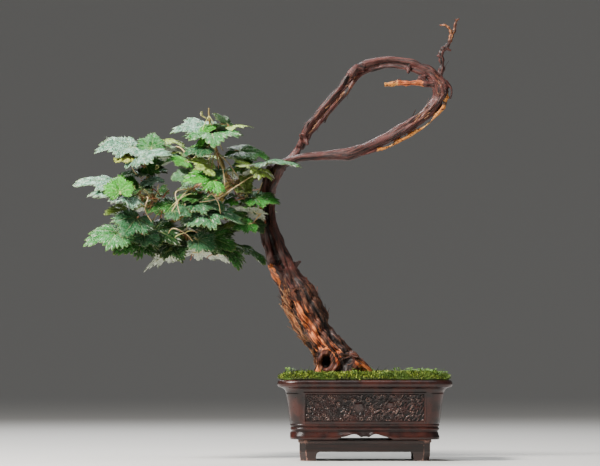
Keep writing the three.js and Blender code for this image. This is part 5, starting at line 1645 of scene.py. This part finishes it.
def make_grape_leaf():
    material, tree, shader, place = new_material("grape_leaf", 0.45, Specular_IOR_Level=0.38)
    plan = attribute(tree, "plan", "Vector")
    under = node(tree, "ShaderNodeSeparateXYZ", {0: plan}).outputs[2]
    veins = placed_group(tree, LEAF_VEINS, {"Plan": plan})
    spots = placed_group(tree, MOTTLE, {"Place": place, "Size": 0.022})
    tone = attribute(tree, "tone", "Color")
    darker = toned(tree, tone, 0.38, 1.25)
    lighter = toned(tree, tone, 1.5, 0.9)
    upper = blend(tree, step_up(tree, spots["Broad"], 0.38, 0.62), darker, lighter)
    # Darker along the lines of the puckered net: painted shade in the creases between its cells.
    upper = blend(tree, plus(tree, 0.22, times(tree, veins["Puff"], 0.78)), darker, upper)
    speckled = blend(tree, step_up(tree, spots["Fine"], 0.36, 0.64), darker, lighter)
    upper = blend(tree, 0.5, upper, speckled)
    # Whitish patches on the bluer leaves: partly a waxy bloom, partly a painted sheen.
    sheen = placed_group(tree, MOTTLE, {"Place": place, "Size": 0.0075})
    dusty_sheen = toned(tree, tone, 2.1, 0.55)
    bloom_and_sheen = step_up(tree, node(tree, "ShaderNodeSeparateColor", {0: tone}).outputs["Blue"], -0.02, 0.16)
    dust_and_sheen = times(tree, times(tree, step_up(tree, sheen["Broad"], 0.46, 0.62), bloom_and_sheen), 0.62)
    upper = blend(tree, dust_and_sheen, upper, dusty_sheen)
    pale_vein = blend(tree, 0.5, lighter, srgb(222, 226, 150))
    upper = blend(tree, times(tree, veins["Side"], 0.32), upper, pale_vein)
    upper = blend(tree, times(tree, veins["Main"], 0.5), upper, pale_vein)
    rim = step_up(tree, attribute(tree, "rim"), 0.93, 1.02)
    upper = blend(tree, times(tree, rim, 0.35), upper, srgb(196, 200, 110))
    felt = blend(tree, step_up(tree, spots["Fine"], 0.35, 0.7), srgb(170, 182, 158), srgb(212, 216, 200))
    felt = blend(tree, times(tree, veins["Side"], 0.5), felt, srgb(160, 170, 130))
    felt = blend(tree, veins["Main"], felt, srgb(208, 206, 160))
    colour = blend(tree, under, upper, felt)
    ribs = maths(tree, "MAXIMUM", veins["Main"], times(tree, veins["Side"], 0.6))
    height = minus(tree, times(tree, veins["Puff"], 0.8), ribs)
    rough = plus(tree, times(tree, spots["Fine"], 0.2), 0.34)
    rough = plus(tree, rough, times(tree, under, 0.25))
    wire(tree, shader, Base_Color=colour, Roughness=rough, Normal=bumped(tree, height, 0.0014, 1.0))
    return material


def make_shoot_skin():
    material, tree, shader, place = new_material("shoot_skin", 0.5)
    spots = placed_group(tree, MOTTLE, {"Place": place, "Size": 0.006})
    tone = attribute(tree, "tone", "Color")
    colour = blend(tree, step_up(tree, spots["Broad"], 0.35, 0.65), toned(tree, tone, 0.6), tone)
    wire(tree, shader, Base_Color=colour, Normal=bumped(tree, spots["Fine"], 0.0003))
    return material


STEM_GREEN, STEM_BROWN = srgb(164, 164, 84)[:3], srgb(134, 88, 52)[:3]
PETIOLE_PINK, PETIOLE_GREEN = srgb(206, 150, 112)[:3], srgb(206, 206, 130)[:3]
DRY_TONES = [srgb(206, 148, 104)[:3], srgb(168, 92, 60)[:3], srgb(226, 200, 146)[:3]]
# Long bare stems that cross in front of the leaves, as [x, y, z, radius]
FRONT_STEMS = {
    "trunk_side": [
        [
            (-152, -3, 444, 1.7), (-172, -34, 442, 1.4), (-198, -64, 424, 1.3), (-228, -76, 404, 1.3),
            (-258, -73, 398, 1.2),
        ],
    ],
    "top": [
        [(-234, -30, 496, 1.7), (-229, -52, 470, 1.5), (-219, -66, 448, 1.4), (-216, -70, 424, 1.2)],
        [(-236, -33, 508, 1.4), (-238, -54, 476, 1.3), (-242, -72, 454, 1.1)],
        [(-230, -25, 481, 1.6), (-212, -40, 462, 1.4), (-202, -50, 448, 1.2), (-194, -46, 436, 1.1)],
    ],
    "centre": [
        [(-268, -66, 420, 1.6), (-290, -92, 414, 1.3), (-288, -100, 394, 1.2), (-284, -100, 378, 1.1)],
        [(-257, -52, 414, 1.5), (-276, -96, 408, 1.3), (-296, -104, 392, 1.1)],
        [(-248, -28, 404, 1.5), (-236, -96, 410, 1.3), (-226, -92, 398, 1.2), (-222, -84, 380, 1.1)],
    ],
    "left": [
        [(-340, -42, 409, 1.7), (-334, -84, 404, 1.4), (-338, -92, 386, 1.3), (-328, -90, 368, 1.2)],
    ],
    "upper_left": [
        [(-345, -34, 468, 1.5), (-362, -58, 466, 1.2), (-356, -64, 446, 1.1), (-348, -40, 440, 1.1)],
    ],
    "bottom_left": [
        [(-311, -24, 335, 1.6), (-298, -66, 358, 1.3), (-276, -74, 350, 1.2), (-262, -74, 334, 1.1)],
        [(-287, -14, 337, 1.5), (-292, -64, 346, 1.3), (-266, -72, 356, 1.2)],
    ],
}
LEAF_MATERIALS = [make_grape_leaf(), make_shoot_skin()]


def curl_rows(start, heading, length, draw):
    """Rows of a tendril that starts straight and ends in a coil."""
    side = np.cross(heading, [0.0, 0.0, 1.0])
    side /= np.linalg.norm(side)
    up = np.cross(side, heading)
    rows = [(*start, 0.8)]
    for k in range(1, TENDRIL_STEPS + 1):
        t = k / TENDRIL_STEPS
        bend = max(0.0, t - 0.35) * 11
        radius = 0.13 * length * (1.15 - t)
        coil = heading * math.sin(bend) + up * (1 - math.cos(bend)) + side * 0.25 * bend * t
        place = start + heading * length * (min(t, 0.4) + 0.12 * t) + radius * coil
        rows.append((*(place + draw.normal(size=3) * 0.3), 0.75 - 0.35 * t))
    return rows


def own_leaves(route, leaves, draws, draw):
    """The leaves of the shoot's table, each a blade on its petiole."""
    parts = []
    for row in leaves:
        joint, tip = np.array(row[:3], float), np.array(row[3:6], float)
        axes = leaf_frame(joint, tip, row[6])
        arch, fold = 0.05 + 0.05 * next(draws), 0.04 + 0.14 * next(draws)
        start = route[np.linalg.norm(route - joint, axis=1).argmin()]
        tone = srgb(*TONES[row[7]])[:3]
        parts.append((*blade(joint, axes, arch, fold, tone, draw), BLADE_SKIN))
        blush = draw.uniform()
        colour = np.array(PETIOLE_PINK) * blush + np.array(PETIOLE_GREEN) * (1 - blush)
        parts.append(stem_part(petiole_rows(start, joint, axes, PETIOLE_RADIUS), 14, 8, colour))
    return parts


def inner_leaves(route, middle, draw):
    """Small leaves between the shoot's stem and the middle of its own leaves."""
    parts = []
    for _ in range(INNER_LEAVES):
        start = route[draw.integers(3, 12)]
        away = 0.5 * (middle - start) + draw.uniform(-16, 16, 3)
        joint = start + away
        length = draw.uniform(*INNER_LENGTHS)
        heading = draw.normal(size=3) * np.array([1.0, 0.6, 0.35])
        tip = joint + heading / np.linalg.norm(heading) * length
        axes = leaf_frame(joint, tip, draw.uniform(5, 60))
        tone = srgb(*TONES[INNER_TONES[draw.integers(0, len(INNER_TONES))]])[:3]
        fold = draw.uniform(0.05, 0.35)
        parts.append((*blade(joint, axes, 0.08, fold, tone, draw), BLADE_SKIN))
        petiole = petiole_rows(start, joint, axes, INNER_PETIOLE_RADIUS)
        parts.append(stem_part(petiole, 12, 7, PETIOLE_GREEN))
    return parts


def dry_twigs(route, draw):
    """Thin dry stems that stick out all round the shoot."""
    parts = []
    for k in range(INNER_TWIGS):
        start = route[draw.integers(0, 10)]
        heading = draw.normal(size=3) * np.array([1.0, 0.5, 0.9])
        heading /= np.linalg.norm(heading)
        length = draw.uniform(*TWIG_LENGTHS)
        rows = []
        for t in (0.0, 0.3, 0.6, 0.85, 1.0):
            place = start + heading * length * t + draw.normal(size=3) * 1.6 * t
            rows.append((*place, 1.1 - 0.5 * t))
        parts.append(stem_part(rows, 12, 6, DRY_TONES[k % 3]))
    return parts


def make_shoot(name, stem, leaves, draws, seed):
    """One shoot: its stem with nodes, its leaves on petioles, small leaves, twigs and a tendril."""
    draw = np.random.default_rng(seed)
    route = along_rows(stem, ROUTE_STEPS)[:, :3]
    swollen = along_rows(stem, 24)
    swollen[::6, 3] *= NODE_SWELL
    stem_colour = np.array(STEM_BROWN) * 0.6 + np.array(STEM_GREEN) * 0.4
    parts = [stem_part(swollen, 48, 10, stem_colour)]
    parts += own_leaves(route, leaves, draws, draw)
    parts += inner_leaves(route, np.mean([row[:3] for row in leaves], axis=0), draw)
    parts += dry_twigs(route, draw)
    for k, rows in enumerate(FRONT_STEMS.get(name, [])):
        parts.append(stem_part(thinned(rows, 0.62), 24, 7, PETIOLE_GREEN if k % 2 else DRY_TONES[2]))
    heading = draw.normal(size=3) * np.array([1.0, 0.4, 0.4]) + np.array([0.0, -0.6, 0.5])
    heading /= np.linalg.norm(heading)
    tendril = curl_rows(route[9], heading, draw.uniform(*TENDRIL_LENGTHS), draw)
    parts.append(stem_part(tendril, 60, 6, PETIOLE_GREEN))
    points, faces, values, kinds = gathered(parts)
    mesh = new_mesh(f"leafy_{name}", points, faces, values)
    add_piece(f"leafy_{name}", f"shoot_{name}", mesh, LEAF_MATERIALS)
    mesh.polygons.foreach_set("material_index", kinds)


leaf_draws = seeded_draws(LEAF_SEED)
all_shoots = dict(SHOOTS)
for name, (stem, out, count) in REAR_SHOOTS.items():
    all_shoots[name] = (stem, rear_leaves(stem, out, count, leaf_draws))
for i, (name, (stem, leaves)) in enumerate(all_shoots.items()):
    make_shoot(name, stem, leaves, leaf_draws, seed=SHOOT_SEED + i)


# Camera, floor and light. The photograph was taken from the front, a little above the moss, from far
# enough away that it hardly narrows. The object stands on a plain pale floor in soft studio light.

PHOTO_WIDTH = 600
SENSOR_WIDTH = 36.0
MM_PER_PIXEL = 1.563
SIGHT_X, SIGHT_Z = -100.0, 354.0
CAMERA_DISTANCE = 5200.0
CAMERA_RISE = math.radians(-2.2)

target = Vector(in_frame([SIGHT_X, 0.0, SIGHT_Z]))
back = Vector((0.0, -math.cos(CAMERA_RISE), math.sin(CAMERA_RISE)))
camera_data = bpy.data.cameras.new("camera")
camera_data.sensor_width = SENSOR_WIDTH
camera_data.lens = SENSOR_WIDTH * CAMERA_DISTANCE / (PHOTO_WIDTH * MM_PER_PIXEL)
camera = linked("camera", camera_data)
camera.location = target + back * CAMERA_DISTANCE * MM
camera.rotation_mode = "QUATERNION"
camera.rotation_quaternion = (-back).to_track_quat("-Z", "Y")
bpy.context.scene.camera = camera

# The floor is flat to its radius and sweeps up into a slope all round, in metres
FLOOR_RADIUS, SWEEP_RADIUS, SLOPE, FLOOR_EDGE = 9.0, 14.0, math.radians(38), 30.0
FLOOR_SIDES = 96
floor_material, _, floor_shader, _ = new_material("floor_grey", 0.8)
floor_shader.inputs["Base Color"].default_value = srgb(212, 210, 206)
floor_profile = [(0.2, 0.0), (FLOOR_RADIUS, 0.0)]
for turn in np.linspace(0, SLOPE, 20):
    reach = FLOOR_RADIUS + SWEEP_RADIUS * math.sin(turn)
    floor_profile.append((reach, SWEEP_RADIUS * (1 - math.cos(turn))))
sweep_end, sweep_height = floor_profile[-1]
floor_profile.append((FLOOR_EDGE, sweep_height + (FLOOR_EDGE - sweep_end) * math.tan(SLOPE)))
floor_turns = np.linspace(0, 2 * math.pi, FLOOR_SIDES, endpoint=False)
floor_rings = [[(r * math.cos(t), r * math.sin(t), z) for t in floor_turns] for r, z in floor_profile]
floor_points, floor_faces = skin(floor_rings, closed_ends=False)
floor_faces = [face[::-1] for face in floor_faces] + [tuple(range(FLOOR_SIDES))]
floor_mesh = bpy.data.meshes.new("floor")
floor_mesh.from_pydata(floor_points, [], floor_faces)
floor_mesh.polygons.foreach_set("use_smooth", np.full(len(floor_mesh.polygons), True))
floor_mesh.materials.append(floor_material)
floor = linked("floor", floor_mesh)


def add_light(name, azimuth, elevation, distance, size, power, colour):
    """A square soft light that faces the plant's middle."""
    data = bpy.data.lights.new(name, "AREA")
    data.size = size
    data.energy = power
    data.color = colour
    light = linked(name, data)
    a, e = math.radians(azimuth), math.radians(elevation)
    out = Vector((math.sin(a) * math.cos(e), -math.cos(a) * math.cos(e), math.sin(e)))
    light.location = target + out * distance
    light.visible_camera = False
    light.rotation_mode = "QUATERNION"
    light.rotation_quaternion = out.to_track_quat("Z", "Y")


add_light("key", -50, 44, 2.2, 0.5, 140.0, (1.0, 0.97, 0.93))
add_light("back", 196, 42, 2.6, 1.2, 50.0, (0.94, 0.97, 1.0))
add_light("top", 6, 80, 2.0, 0.9, 12.0, (0.95, 0.98, 1.0))
add_light("fill", 55, 14, 2.8, 2.0, 3.0, (1.0, 0.98, 0.96))
world = bpy.data.worlds.new("studio")
world.use_nodes = True
world.node_tree.nodes["Background"].inputs["Color"].default_value = (0.78, 0.79, 0.8, 1.0)
world.node_tree.nodes["Background"].inputs["Strength"].default_value = 0.2
bpy.context.scene.world = world
